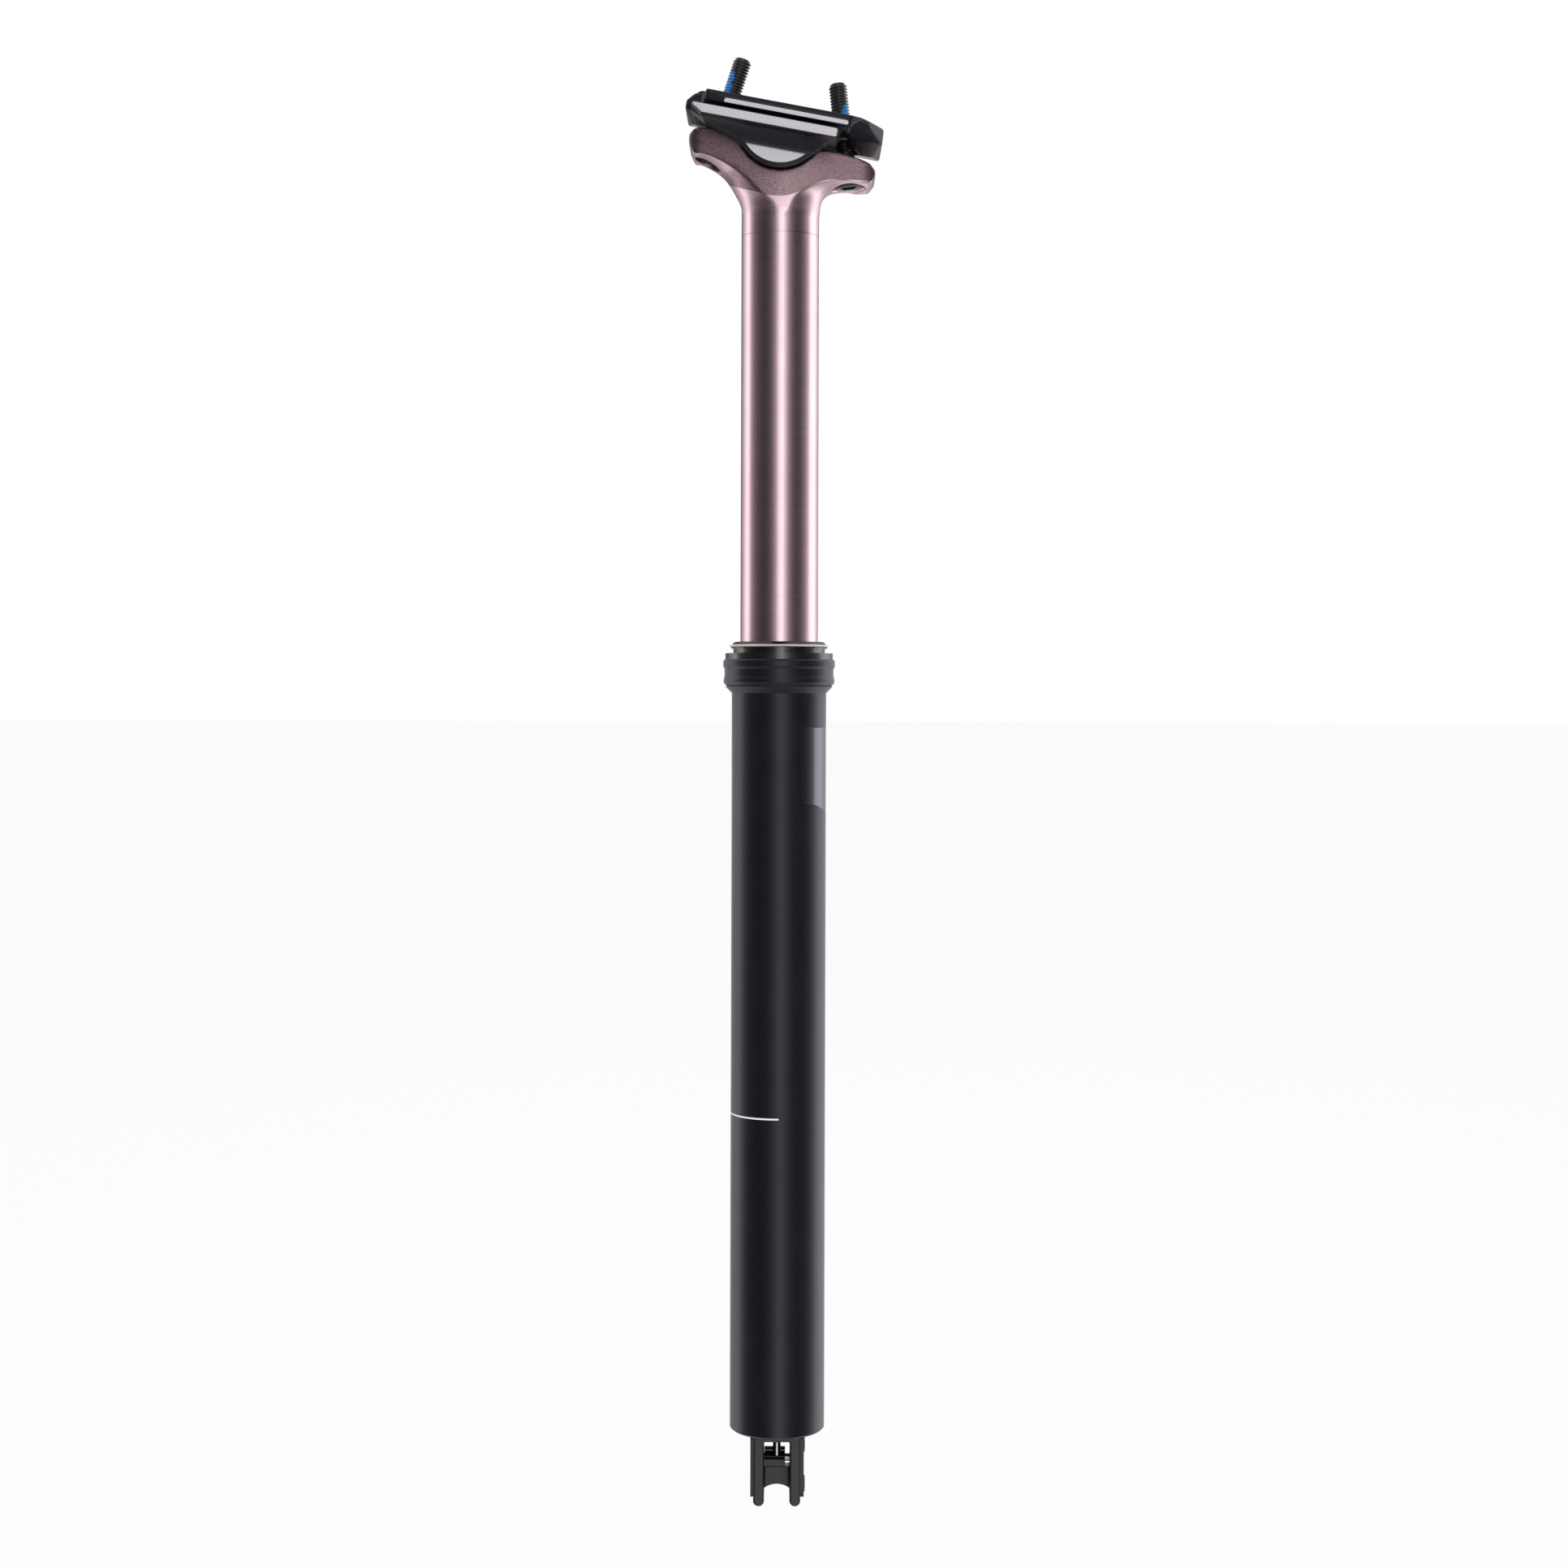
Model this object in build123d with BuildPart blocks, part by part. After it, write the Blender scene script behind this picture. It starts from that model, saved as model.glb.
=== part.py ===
from build123d import *
from math import atan2, cos, degrees, radians, sin, sqrt
import os

os.makedirs("parts", exist_ok=True)

# A dropper seatpost: a polished stanchion slides in a black outer tube and carries a
# two-bolt saddle clamp. The origin is on the post's axis, at the top of the straight
# part of the outer tube. X points to the rear of the bicycle, Z points up. Millimetres.

# Shared allowances
overrun = 30.0
running_gap = 0.05
body_gap = 0.3

# Outer tube
tube_diameter = 30.9
tube_length = 240.0
tube_bore = 27.9
tube_edge = 0.6
flare_diameter = 35.2
flare_height = 2.2
spigot_diameter = 32.6
spigot_height = 8.0
thread_pitch = 1.0
thread_depth = 0.45
bushing_seat_bore = 28.5
bushing_seat_depth = 22.0

# Seal collar, from its lower to its upper edge
collar_start = 2.7
collar_end = 11.0
collar_bead = 36.32
collar_waist = 35.7
collar_top_bead = 36.6
collar_foot = 35.4

# Dust wiper
wiper_flange_diameter = 35.2
wiper_flange_height = 2.0
wiper_neck_diameter = 30.0
wiper_neck_height = 1.5
wiper_lip_diameter = 31.4
wiper_lip_height = 2.2
wiper_body_diameter = 31.0
wiper_skirt_depth = 2.2
garter_wire = 1.0
felt_height = 3.6

# Travel and sliding pieces
travel = 125.0
stanchion_diameter = 25.4
stanchion_wall = 1.5
stanchion_overlap = 88.0
lower_bushing_height = 22.0
key_length = 12.0
key_width = 3.0
key_sink = 0.7
key_groove_depth = 0.5
key_count = 3
key_above_bushing = 3.0
groove_headroom = 6.0

# Head of the stanchion
head_tilt = 10.4
rocker_height = 183.2
head_height = 27.7
rocker_radius = 14.0
head_half_width = 12.6
wing_corner = 4.0
left_wing_reach = 29.7
right_wing_reach = 30.9
left_flare_drop = 26.3
left_flare_rise = 17.6
left_flare_reach = 15.4
right_flare_drop = 28.3
right_flare_rise = 10.2
right_flare_reach = 15.0
bore_end_depth = 33.2

# Clamp bolts, washers and barrel nuts
bolt_diameter = 6.0
bolt_core = 5.1
bolt_thread_length = 23.0
bolt_head_diameter = 10.0
bolt_head_height = 4.0
bolt_hex = 5.0
bolt_hex_depth = 2.4
washer_thickness = 1.0
washer_diameter = 10.2
washer_seat_gap = 0.1
recess_diameter = 11.0
bolt_hole = 7.6
bolt_reach = 29.2
front_seat_x = -21.36
front_seat_drop = 3.7
front_nut_x = -17.74
front_nut_rise = 7.3
rear_seat_x = 21.8
rear_seat_drop = 12.8
rear_nut_x = 20.36
rear_nut_rise = 0.3
nut_diameter = 8.0
nut_length = 16.0
nut_bore = 6.5
nut_edge = 0.5

# Saddle rails and clamp
rail_diameter = 7.0
rail_spacing = 44.0
lip_gap = 1.0
cradle_half_width = 27.3
cradle_front = 28.6
cradle_rear = 19.1
cradle_flat_height = 3.4
cradle_slot_half_width = 13.5
cradle_pocket_depth = 6.0
cradle_pocket_radius = 7.0
clamp_half_width = 27.0
clamp_front = 31.3
clamp_rear = 33.4
clamp_strip_front = 18.6
clamp_strip_rear = 22.0
clamp_strip_height = 1.8
clamp_margin = 0.5
clamp_crown = 4.8
clamp_pocket_depth = 2.2
clamp_pocket_length = 22.0
clamp_pocket_corner = 3.0
clamp_peak = 6.4
clamp_nose_drop = 2.4
clamp_keel_rise = 2.0
clamp_nose_half_width = 12.9
clamp_bend_reach = 6.2
clamp_bend_half_width = 20.0
clamp_ear_half_width = 12.0
clamp_wall_reach = 5.9
clamp_wall_half_width = 26.3
clamp_shoulder_reach = 7.2
clamp_shoulder_half_width = 16.5
clamp_slope_inset = 2.4
bolt_slot_width = 8.4

# Gas spring inside the stanchion
cylinder_diameter = 21.8
cylinder_bore = 18.8
cap_height = 5.0
cap_plug = 6.0
gland_height = 16.0
gland_nut_height = 5.0
rod_diameter = 8.0
rod_bore = 3.0
rod_shoulder_diameter = 11.0
rod_shoulder_height = 2.0
piston_height = 10.0
piston_seal_height = 2.4
piston_seal_depth = 1.2
floating_height = 12.0
floating_gap = 12.0
top_bumper_height = 8.0
ring_wire = 1.4

# Base of the outer tube
plug_height = 14.0
plug_thread_length = 8.0
plug_socket_diameter = 13.0
plug_socket_depth = 6.0
base_bumper_height = 12.5

# Actuator below the tube
housing_depth = 21.6
housing_half_width = 7.6
cavity_half_width = 4.2
housing_front = 7.0
housing_back = 12.6
roof_thickness = 3.2
nipple_diameter = 5.2
nipple_height = 1.4
foot_drop = 2.4
foot_inner = 3.8
web_top = 14.7
web_bottom = 22.0
web_front = 5.5
web_arch = 1.4
web_step = 0.8
web_step_depth = 1.5
plate_left_thickness = 1.0
plate_right_thickness = 1.2
plate_margin = 0.8
plate_screw_diameter = 5.6
plate_screw_dome = 0.4
plate_screw_shank = 2.5
plate_screw_upper = 6.0
plate_screw_lower = 19.0
plate_screw_y = 1.5
plate_screw_depth = 2.6
plate_corner = 2.0
lever_width = 6.8
lever_offset = 0.7
lever_top = 10.4
lever_thickness = 1.9
lever_nose = 1.8
lever_bump = 1.1
pivot_y = 4.7
pivot_drop = 11.4
pivot_diameter = 2.5
pivot_boss = 4.6
barrel_y = 9.4
barrel_drop = 11.2
barrel_diameter = 2.4
barrel_length = 5.0
barrel_eye = 4.0
cable_bore = 1.4
stop_bore = 5.0
stop_depth = 5.0
pin_diameter = 2.5
pin_tip_drop = 9.5
pin_play = 0.25
pin_headroom = 3.5
pin_tip_edge = 0.4

# Worked-out values
tube_radius = tube_diameter / 2
bore_radius = tube_bore / 2
seat_radius = bushing_seat_bore / 2
spigot_radius = spigot_diameter / 2
stanchion_radius = stanchion_diameter / 2
stanchion_bore = stanchion_radius - stanchion_wall
stanchion_bottom = -stanchion_overlap
sliding_radius = stanchion_radius + running_gap
rail_radius = rail_diameter / 2
rail_y = rail_spacing / 2
rod_radius = rod_diameter / 2
piston_radius = cylinder_bore / 2 - running_gap
gland_bottom = stanchion_bottom + gland_nut_height
gland_top = gland_bottom + gland_height
piston_bottom = gland_top + top_bumper_height + body_gap
piston_top = piston_bottom + piston_height
tube_top = rocker_height - head_height
left_flare_start = rocker_height - left_flare_drop
right_flare_start = rocker_height - right_flare_drop
bore_top = rocker_height - bore_end_depth
front_seat_z = rocker_height - front_seat_drop
front_nut_z = rocker_height + front_nut_rise
rear_seat_z = rocker_height - rear_seat_drop
rear_nut_z = rocker_height + rear_nut_rise
cap_bottom = bore_top - cap_height
floating_bottom = piston_top + travel + floating_gap
plug_top = -tube_length + plug_height
small_wire = ring_wire - running_gap * 2
housing_floor = -tube_length - housing_depth


def side_plane(x, z, lean):
    """A plane of the side view; its own Y leans towards the rear by this many degrees."""
    return Plane(origin=(x, 0, z), x_dir=(cos(radians(lean)), 0, -sin(radians(lean))), z_dir=(0, -1, 0))


def lean_plane(x, z, lean, along=0):
    """A plane square to the leaning axis, moved along it; its own Y is the post's Y."""
    tilt = radians(lean)
    origin = (x + along * sin(tilt), 0, z + along * cos(tilt))
    return Plane(origin=origin, x_dir=(cos(tilt), 0, -sin(tilt)), z_dir=(sin(tilt), 0, cos(tilt)))


def lean_axis(x, z, lean):
    """The leaning axis itself."""
    return Axis(origin=(x, 0, z), direction=(sin(radians(lean)), 0, cos(radians(lean))))


def rail_plane():
    """A plane square to the saddle rails, through the rocker's axis."""
    tilt = radians(head_tilt)
    return Plane(origin=(0, 0, rocker_height), x_dir=(0, 1, 0), z_dir=(cos(tilt), 0, -sin(tilt)))


def thread_rings(root, crest, low, high, pitch):
    """Outline points of ring-shaped threads on the outside of a shaft, from low to high."""
    points = [(root, low)]
    for turn in range(int((high - low) / pitch)):
        foot = low + turn * pitch
        points += [(crest, foot + pitch / 2), (root, foot + pitch)]
    return points


def revolved(points, axis=Axis.Z, plane=Plane.XZ):
    """A closed outline in the side view, turned about an axis. Returns the builder."""
    with BuildPart() as turned:
        with BuildSketch(plane):
            with BuildLine():
                Polyline(*points, close=True)
            make_face()
        revolve(axis=axis)
    return turned


def ring(inner, outer, low, high):
    """A plain ring round the post's axis. Returns the builder."""
    return revolved([(inner, low), (outer, low), (outer, high), (inner, high)])


def seal_ring(radius, wire, height):
    """A round rubber ring: its wire's centre runs at this radius and height."""
    with BuildPart() as seal:
        with BuildSketch(Plane.XZ):
            with Locations((radius, height)):
                Circle(wire / 2)
        revolve(axis=Axis.Z)
    return seal


def groove_centre(outside):
    """Where the wire of a rubber ring runs in its groove on a shaft of this outside radius."""
    return outside - ring_wire / 2 + running_gap


# Outer tube: a thin tube with a flared lip, a threaded spigot and three key grooves
with BuildPart() as outer_tube:
    thread = thread_rings(spigot_radius - thread_depth, spigot_radius, collar_start,
                          spigot_height - thread_pitch / 2, thread_pitch)
    with BuildSketch(Plane.XZ):
        with BuildLine():
            Polyline(
                (bore_radius, -tube_length), (tube_radius - tube_edge, -tube_length),
                (tube_radius, -tube_length + tube_edge), (tube_radius, 0),
                (flare_diameter / 2, flare_height), (thread[0][0], flare_height), *thread,
                (thread[-1][0], spigot_height), (seat_radius, spigot_height),
                (seat_radius, -bushing_seat_depth), (bore_radius, -bushing_seat_depth),
                close=True,
            )
        make_face()
    revolve(axis=Axis.Z)
    groove_top = stanchion_bottom + lower_bushing_height + key_above_bushing + key_length + groove_headroom
    groove_length = groove_top - plug_top
    with BuildSketch(Plane.XY.offset(groove_top)):
        with PolarLocations(bore_radius, key_count):
            Rectangle(key_groove_depth * 2, key_width + running_gap * 2)
    extrude(amount=-groove_length, mode=Mode.SUBTRACT)
outer_tube.part.label = "outer_tube"
export_step(outer_tube.part, "parts/outer_tube.step")

# Seal collar: screwed over the spigot, with two beads and a waist
collar_height = collar_end - collar_start
bead_shares = ((0.0, collar_foot), (0.1, collar_bead), (0.22, collar_bead), (0.34, collar_waist),
               (0.62, collar_waist), (0.72, collar_top_bead), (0.94, collar_top_bead), (1.0, collar_waist))
collar_inner = spigot_radius + running_gap
wiper_radius = wiper_body_diameter / 2
with BuildPart() as seal_collar:
    with BuildSketch(Plane.XZ):
        with BuildLine():
            Polyline(
                (collar_inner, collar_start),
                *[(width / 2, collar_start + share * collar_height) for share, width in bead_shares],
                (wiper_radius + running_gap, collar_end),
                (wiper_radius + running_gap, spigot_height + running_gap),
                (collar_inner, spigot_height + running_gap), close=True,
            )
        make_face()
    revolve(axis=Axis.Z)
seal_collar.part.label = "seal_collar"
export_step(seal_collar.part, "parts/seal_collar.step")

# Flat rubber ring in the seam between the tube's lip and the collar
collar_seal = ring(spigot_radius - thread_depth, collar_foot / 2 - thread_depth, flare_height, collar_start)
collar_seal.part.label = "collar_seal"
export_step(collar_seal.part, "parts/collar_seal.step")

# Dust wiper: a flange, a neck and a lip that a garter spring holds on the stanchion
flange_top = collar_end + wiper_flange_height
neck_top = flange_top + wiper_neck_height
lip_top = neck_top + wiper_lip_height
lip_radius = wiper_lip_diameter / 2
neck_radius = wiper_neck_diameter / 2
garter_height = neck_top + wiper_lip_height * 0.4
skirt_bottom = spigot_height - wiper_skirt_depth
lip_edge = (lip_radius - sliding_radius) * 0.35
with BuildPart() as dust_wiper:
    with BuildSketch(Plane.XZ):
        with BuildLine():
            Polyline(
                (sliding_radius, skirt_bottom), (seat_radius - running_gap, skirt_bottom),
                (seat_radius - running_gap, spigot_height + running_gap),
                (wiper_radius, spigot_height + running_gap), (wiper_radius, collar_end),
                (wiper_flange_diameter / 2, collar_end), (wiper_flange_diameter / 2, flange_top),
                (neck_radius, flange_top), (neck_radius, neck_top), (lip_radius, neck_top),
                (lip_radius, lip_top - lip_edge), (lip_radius - lip_edge, lip_top),
                (sliding_radius, lip_top), close=True,
            )
        make_face()
        with Locations((lip_radius, garter_height)):
            Circle(garter_wire / 2, mode=Mode.SUBTRACT)
    revolve(axis=Axis.Z)
dust_wiper.part.label = "dust_wiper"
export_step(dust_wiper.part, "parts/dust_wiper.step")

wiper_spring = seal_ring(lip_radius, garter_wire - running_gap * 2, garter_height)
wiper_spring.part.label = "wiper_spring"
export_step(wiper_spring.part, "parts/wiper_spring.step")

# Upper bushing, with the foam ring that holds grease on top of it
bushing_top = skirt_bottom - felt_height
upper_bushing = ring(sliding_radius, seat_radius - running_gap, -bushing_seat_depth, bushing_top)
upper_bushing.part.label = "upper_bushing"
export_step(upper_bushing.part, "parts/upper_bushing.step")

grease_foam = ring(sliding_radius, seat_radius - running_gap, bushing_top, bushing_top + felt_height)
grease_foam.part.label = "grease_foam"
export_step(grease_foam.part, "parts/grease_foam.step")

# Base plug: closes the tube, holds the piston rod above and the actuator below
plug_radius = bore_radius - running_gap
socket_radius = plug_socket_diameter / 2
plug_seal_height = plug_top - ring_wire * 1.5
with BuildPart() as base_plug:
    plug_thread = thread_rings(plug_radius - thread_depth, plug_radius, -tube_length,
                               -tube_length + plug_thread_length, thread_pitch)
    with BuildSketch(Plane.XZ):
        with BuildLine():
            Polyline(
                (socket_radius, -tube_length), *plug_thread,
                (plug_radius, -tube_length + plug_thread_length + thread_depth), (plug_radius, plug_top),
                (rod_radius, plug_top), (rod_radius, -tube_length + plug_socket_depth),
                (socket_radius, -tube_length + plug_socket_depth), close=True,
            )
        make_face()
        with Locations((groove_centre(plug_radius), plug_seal_height)):
            Circle(ring_wire / 2, mode=Mode.SUBTRACT)
    revolve(axis=Axis.Z)
base_plug.part.label = "base_plug"
export_step(base_plug.part, "parts/base_plug.step")

plug_seal = seal_ring(groove_centre(plug_radius), small_wire, plug_seal_height)
plug_seal.part.label = "plug_seal"
export_step(plug_seal.part, "parts/plug_seal.step")

base_bumper = ring(rod_shoulder_diameter / 2 + body_gap, bore_radius - body_gap, plug_top,
                   plug_top + base_bumper_height)
base_bumper.part.label = "base_bumper"
export_step(base_bumper.part, "parts/base_bumper.step")

# Hollow piston rod, fixed in the base plug; the piston is screwed on its top
rod_bottom = -tube_length + plug_socket_depth
rod_end = piston_top - piston_height / 2
piston_rod = revolved([
    (rod_bore / 2, rod_bottom), (rod_radius, rod_bottom), (rod_radius, plug_top),
    (rod_shoulder_diameter / 2, plug_top), (rod_shoulder_diameter / 2, plug_top + rod_shoulder_height),
    (rod_radius, plug_top + rod_shoulder_height), (rod_radius, rod_end), (rod_bore / 2, rod_end),
])
piston_rod.part.label = "piston_rod"
export_step(piston_rod.part, "parts/piston_rod.step")

piston_groove_low = piston_bottom + (piston_height - piston_seal_height) / 2
piston_groove_high = piston_groove_low + piston_seal_height
main_piston = revolved([
    (rod_radius, piston_bottom), (piston_radius, piston_bottom), (piston_radius, piston_groove_low),
    (piston_radius - piston_seal_depth, piston_groove_low),
    (piston_radius - piston_seal_depth, piston_groove_high), (piston_radius, piston_groove_high),
    (piston_radius, piston_top), (rod_bore / 2, piston_top), (rod_bore / 2, rod_end), (rod_radius, rod_end),
])
main_piston.part.label = "main_piston"
export_step(main_piston.part, "parts/main_piston.step")

piston_seal = ring(piston_radius - piston_seal_depth, piston_radius, piston_groove_low, piston_groove_high)
piston_seal.part.label = "piston_seal"
export_step(piston_seal.part, "parts/piston_seal.step")

# Head of the stanchion, as a form: two turned flares cut to a side and a top outline.
# Each flare is a list of shares of its reach and of its rise, from the tube outwards.
left_flare_shares = ((0.026, 0.16), (0.104, 0.295), (0.29, 0.57), (0.64, 0.847), (1.0, 1.0))
right_flare_shares = ((0.02, 0.3), (0.08, 0.64), (0.24, 0.86), (1.0, 1.0))
# The side outline of the wings, in shares of a wing's reach and of the head's height.
left_side_shares = ((0.946, 0.0), (0.946, 0.686), (1.0, 0.81), (1.0, 0.92), (0.943, 0.989),
                    (0.69, 0.993), (0.64, 0.964), (0.42, 0.964))
right_side_shares = ((0.36, 0.726), (0.453, 0.726), (0.573, 0.711), (0.718, 0.668), (0.828, 0.635),
                     (0.935, 0.585), (1.0, 0.505), (1.0, 0.43), (0.92, 0.33), (0.92, 0.0))
seat_cut_radius = rocker_radius + running_gap
flare_edge = right_wing_reach + wing_corner
front_lean = degrees(atan2(front_nut_x - front_seat_x, front_nut_z - front_seat_z))
rear_lean = degrees(atan2(rear_nut_x - rear_seat_x, rear_nut_z - rear_seat_z))
front_bolt_place = (front_seat_x, front_seat_z, front_lean)
rear_bolt_place = (rear_seat_x, rear_seat_z, rear_lean)


def half_flare(side, start, reach, rise, shares):
    """Half of a turned flare, from the tube's round out to past the wing's end."""
    points = [(side * stanchion_radius, start)]
    for out_share, up_share in shares:
        points.append((side * (stanchion_radius + out_share * reach), start + up_share * rise))
    with BuildPart() as flare:
        with BuildSketch(Plane.YZ):
            with BuildLine():
                Spline(*points)
                Polyline(points[-1], (side * flare_edge, points[-1][1]),
                         (side * flare_edge, rocker_height + wing_corner),
                         (0, rocker_height + wing_corner), (0, start), points[0])
            make_face()
        revolve(axis=Axis.Z, revolution_arc=180)
    return flare


left_flare = half_flare(1, left_flare_start, left_flare_reach, left_flare_rise, left_flare_shares)
right_flare = half_flare(-1, right_flare_start, right_flare_reach, right_flare_rise, right_flare_shares)
left_outline = [(-x * left_wing_reach, tube_top + z * head_height) for x, z in left_side_shares]
right_outline = [(x * right_wing_reach, tube_top + z * head_height) for x, z in right_side_shares]

with BuildPart() as head_form:
    add(left_flare.part)
    add(right_flare.part)
    with BuildSketch(Plane.XZ):
        with BuildLine():
            Polyline(*left_outline, *right_outline, close=True)
        make_face()
    extrude(amount=overrun, both=True, mode=Mode.INTERSECT)
    with BuildSketch(Plane.XY.offset(tube_top - overrun)):
        with Locations(((right_wing_reach - left_wing_reach) / 2, 0)):
            RectangleRounded(left_wing_reach + right_wing_reach, head_half_width * 2, wing_corner)
    extrude(amount=overrun * 3, mode=Mode.INTERSECT)

# Stanchion: tube and head in one piece, bored from below, with the clamp's round seat,
# the bolts' holes and recesses, the lower bushing's groove and the keys' pockets
bushing_groove_radius = stanchion_radius - key_sink
lower_bushing_top = stanchion_bottom + lower_bushing_height
key_bottom = lower_bushing_top + key_above_bushing
with BuildPart() as stanchion:
    with BuildSketch(Plane.XY.offset(stanchion_bottom)):
        Circle(stanchion_radius)
    extrude(amount=right_flare_start + running_gap - stanchion_bottom)
    with BuildSketch(Plane.XY.offset(right_flare_start)):
        Circle(stanchion_radius)
    extrude(amount=left_flare_start + running_gap - right_flare_start)
    add(head_form.part)
    with BuildSketch(Plane.XY.offset(stanchion_bottom)):
        Circle(stanchion_bore)
    extrude(amount=bore_top - stanchion_bottom, mode=Mode.SUBTRACT)
    with BuildSketch(side_plane(0, rocker_height, head_tilt)):
        Circle(seat_cut_radius)
    extrude(amount=overrun, both=True, mode=Mode.SUBTRACT)
    for place in (front_bolt_place, rear_bolt_place):
        with BuildSketch(lean_plane(*place)):
            Circle(recess_diameter / 2)
        extrude(amount=-overrun / 2, mode=Mode.SUBTRACT)
        with BuildSketch(lean_plane(*place)):
            Circle(bolt_hole / 2)
        extrude(amount=overrun, mode=Mode.SUBTRACT)
    with BuildSketch(Plane.XY.offset(stanchion_bottom)):
        Circle(stanchion_radius + overrun)
        Circle(bushing_groove_radius, mode=Mode.SUBTRACT)
    extrude(amount=lower_bushing_height, mode=Mode.SUBTRACT)
    with BuildSketch(Plane.XY.offset(key_bottom)):
        with PolarLocations(stanchion_radius, key_count):
            Rectangle(key_sink * 2, key_width)
    extrude(amount=key_length, mode=Mode.SUBTRACT)
stanchion.part.label = "stanchion"
export_step(stanchion.part, "parts/stanchion.step")

# Lower bushing in its groove at the stanchion's foot
lower_bushing = ring(bushing_groove_radius, bore_radius - running_gap, stanchion_bottom, lower_bushing_top)
lower_bushing.part.label = "lower_bushing"
export_step(lower_bushing.part, "parts/lower_bushing.step")

# Guide keys: brass keys in the stanchion's pockets that run in the tube's grooves
key_height = key_sink + (bore_radius - stanchion_radius) + key_groove_depth - running_gap
with BuildPart() as guide_keys:
    with BuildSketch(Plane.XY.offset(key_bottom)):
        with PolarLocations(stanchion_radius - key_sink + key_height / 2, key_count):
            Rectangle(key_height, key_width)
    extrude(amount=key_length)
guide_keys.part.label = "guide_keys"
export_step(guide_keys.part, "parts/guide_keys.step")

# Gas spring: cylinder, upper cap, rod gland, their seals and the ring nut below them
cylinder_radius = cylinder_diameter / 2
cylinder_inside = cylinder_bore / 2
cap_radius = cylinder_inside - running_gap
gas_cylinder = ring(cylinder_inside, cylinder_radius, gland_bottom, cap_bottom)
gas_cylinder.part.label = "gas_cylinder"
export_step(gas_cylinder.part, "parts/gas_cylinder.step")

cap_seal_height = cap_bottom - cap_plug / 2
with BuildPart() as cylinder_cap:
    with BuildSketch(Plane.XZ):
        with BuildLine():
            Polyline((0, cap_bottom - cap_plug), (cap_radius, cap_bottom - cap_plug),
                     (cap_radius, cap_bottom), (cylinder_radius, cap_bottom),
                     (cylinder_radius, bore_top), (0, bore_top), close=True)
        make_face()
        with Locations((groove_centre(cap_radius), cap_seal_height)):
            Circle(ring_wire / 2, mode=Mode.SUBTRACT)
    revolve(axis=Axis.Z)
cylinder_cap.part.label = "cylinder_cap"
export_step(cylinder_cap.part, "parts/cylinder_cap.step")

cap_seal = seal_ring(groove_centre(cap_radius), small_wire, cap_seal_height)
cap_seal.part.label = "cap_seal"
export_step(cap_seal.part, "parts/cap_seal.step")

gland_middle = (gland_bottom + gland_top) / 2
rod_clearance = rod_radius + running_gap
rod_seal_radius = rod_clearance + ring_wire / 2 - running_gap
with BuildPart() as rod_gland:
    with BuildSketch(Plane.XZ):
        with BuildLine():
            Polyline((rod_clearance, gland_bottom), (cap_radius, gland_bottom), (cap_radius, gland_top),
                     (rod_clearance, gland_top), close=True)
        make_face()
        with Locations((groove_centre(cap_radius), gland_middle), (rod_seal_radius, gland_middle)):
            Circle(ring_wire / 2, mode=Mode.SUBTRACT)
    revolve(axis=Axis.Z)
rod_gland.part.label = "rod_gland"
export_step(rod_gland.part, "parts/rod_gland.step")

gland_seal = seal_ring(groove_centre(cap_radius), small_wire, gland_middle)
gland_seal.part.label = "gland_seal"
export_step(gland_seal.part, "parts/gland_seal.step")

rod_seal = seal_ring(rod_seal_radius, small_wire, gland_middle)
rod_seal.part.label = "rod_seal"
export_step(rod_seal.part, "parts/rod_seal.step")

gland_nut = ring(rod_radius + body_gap, stanchion_bore - running_gap, stanchion_bottom, gland_bottom)
gland_nut.part.label = "gland_nut"
export_step(gland_nut.part, "parts/gland_nut.step")

top_bumper = ring(rod_radius + body_gap, cap_radius - body_gap, gland_top, gland_top + top_bumper_height)
top_bumper.part.label = "top_bumper"
export_step(top_bumper.part, "parts/top_bumper.step")

# Floating piston between the oil below and the gas above it
floating_top = floating_bottom + floating_height
floating_middle = (floating_bottom + floating_top) / 2
with BuildPart() as floating_piston:
    with BuildSketch(Plane.XZ):
        with BuildLine():
            Polyline((0, floating_bottom), (piston_radius, floating_bottom), (piston_radius, floating_top),
                     (0, floating_top), close=True)
        make_face()
        with Locations((groove_centre(piston_radius), floating_middle)):
            Circle(ring_wire / 2, mode=Mode.SUBTRACT)
    revolve(axis=Axis.Z)
floating_piston.part.label = "floating_piston"
export_step(floating_piston.part, "parts/floating_piston.step")

floating_seal = seal_ring(groove_centre(piston_radius), small_wire, floating_middle)
floating_seal.part.label = "floating_seal"
export_step(floating_seal.part, "parts/floating_seal.step")

# Lower cradle: two rail troughs on a round belly that rocks in the head's seat.
# Its side outline is given in shares of its reach and of the rocker's radius.
cradle_front_shares = ((1.0, 0.14), (0.83, 0.336), (0.647, 0.443), (0.525, 0.5))
cradle_rear_shares = ((0.628, 0.564), (0.743, 0.43), (0.838, 0.293), (1.0, 0.279))
belly_angle = radians(45.5)
half_gap = lip_gap / 2
belly_point = (rocker_radius * sin(belly_angle), -rocker_radius * cos(belly_angle))
cradle_front_points = [(-x * cradle_front, -w * rocker_radius) for x, w in cradle_front_shares]
cradle_rear_points = [(x * cradle_rear, -w * rocker_radius) for x, w in cradle_rear_shares]
cove_shares = ((0.97, 0.29), (0.75, 0.375), (0.66, 0.57))
cove_points = [(y * cradle_half_width, -w * rocker_radius) for y, w in cove_shares]


def mirrored(points):
    """The same points on the other side of the middle, in the opposite order."""
    return [(-y, w) for y, w in reversed(points)]


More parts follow.
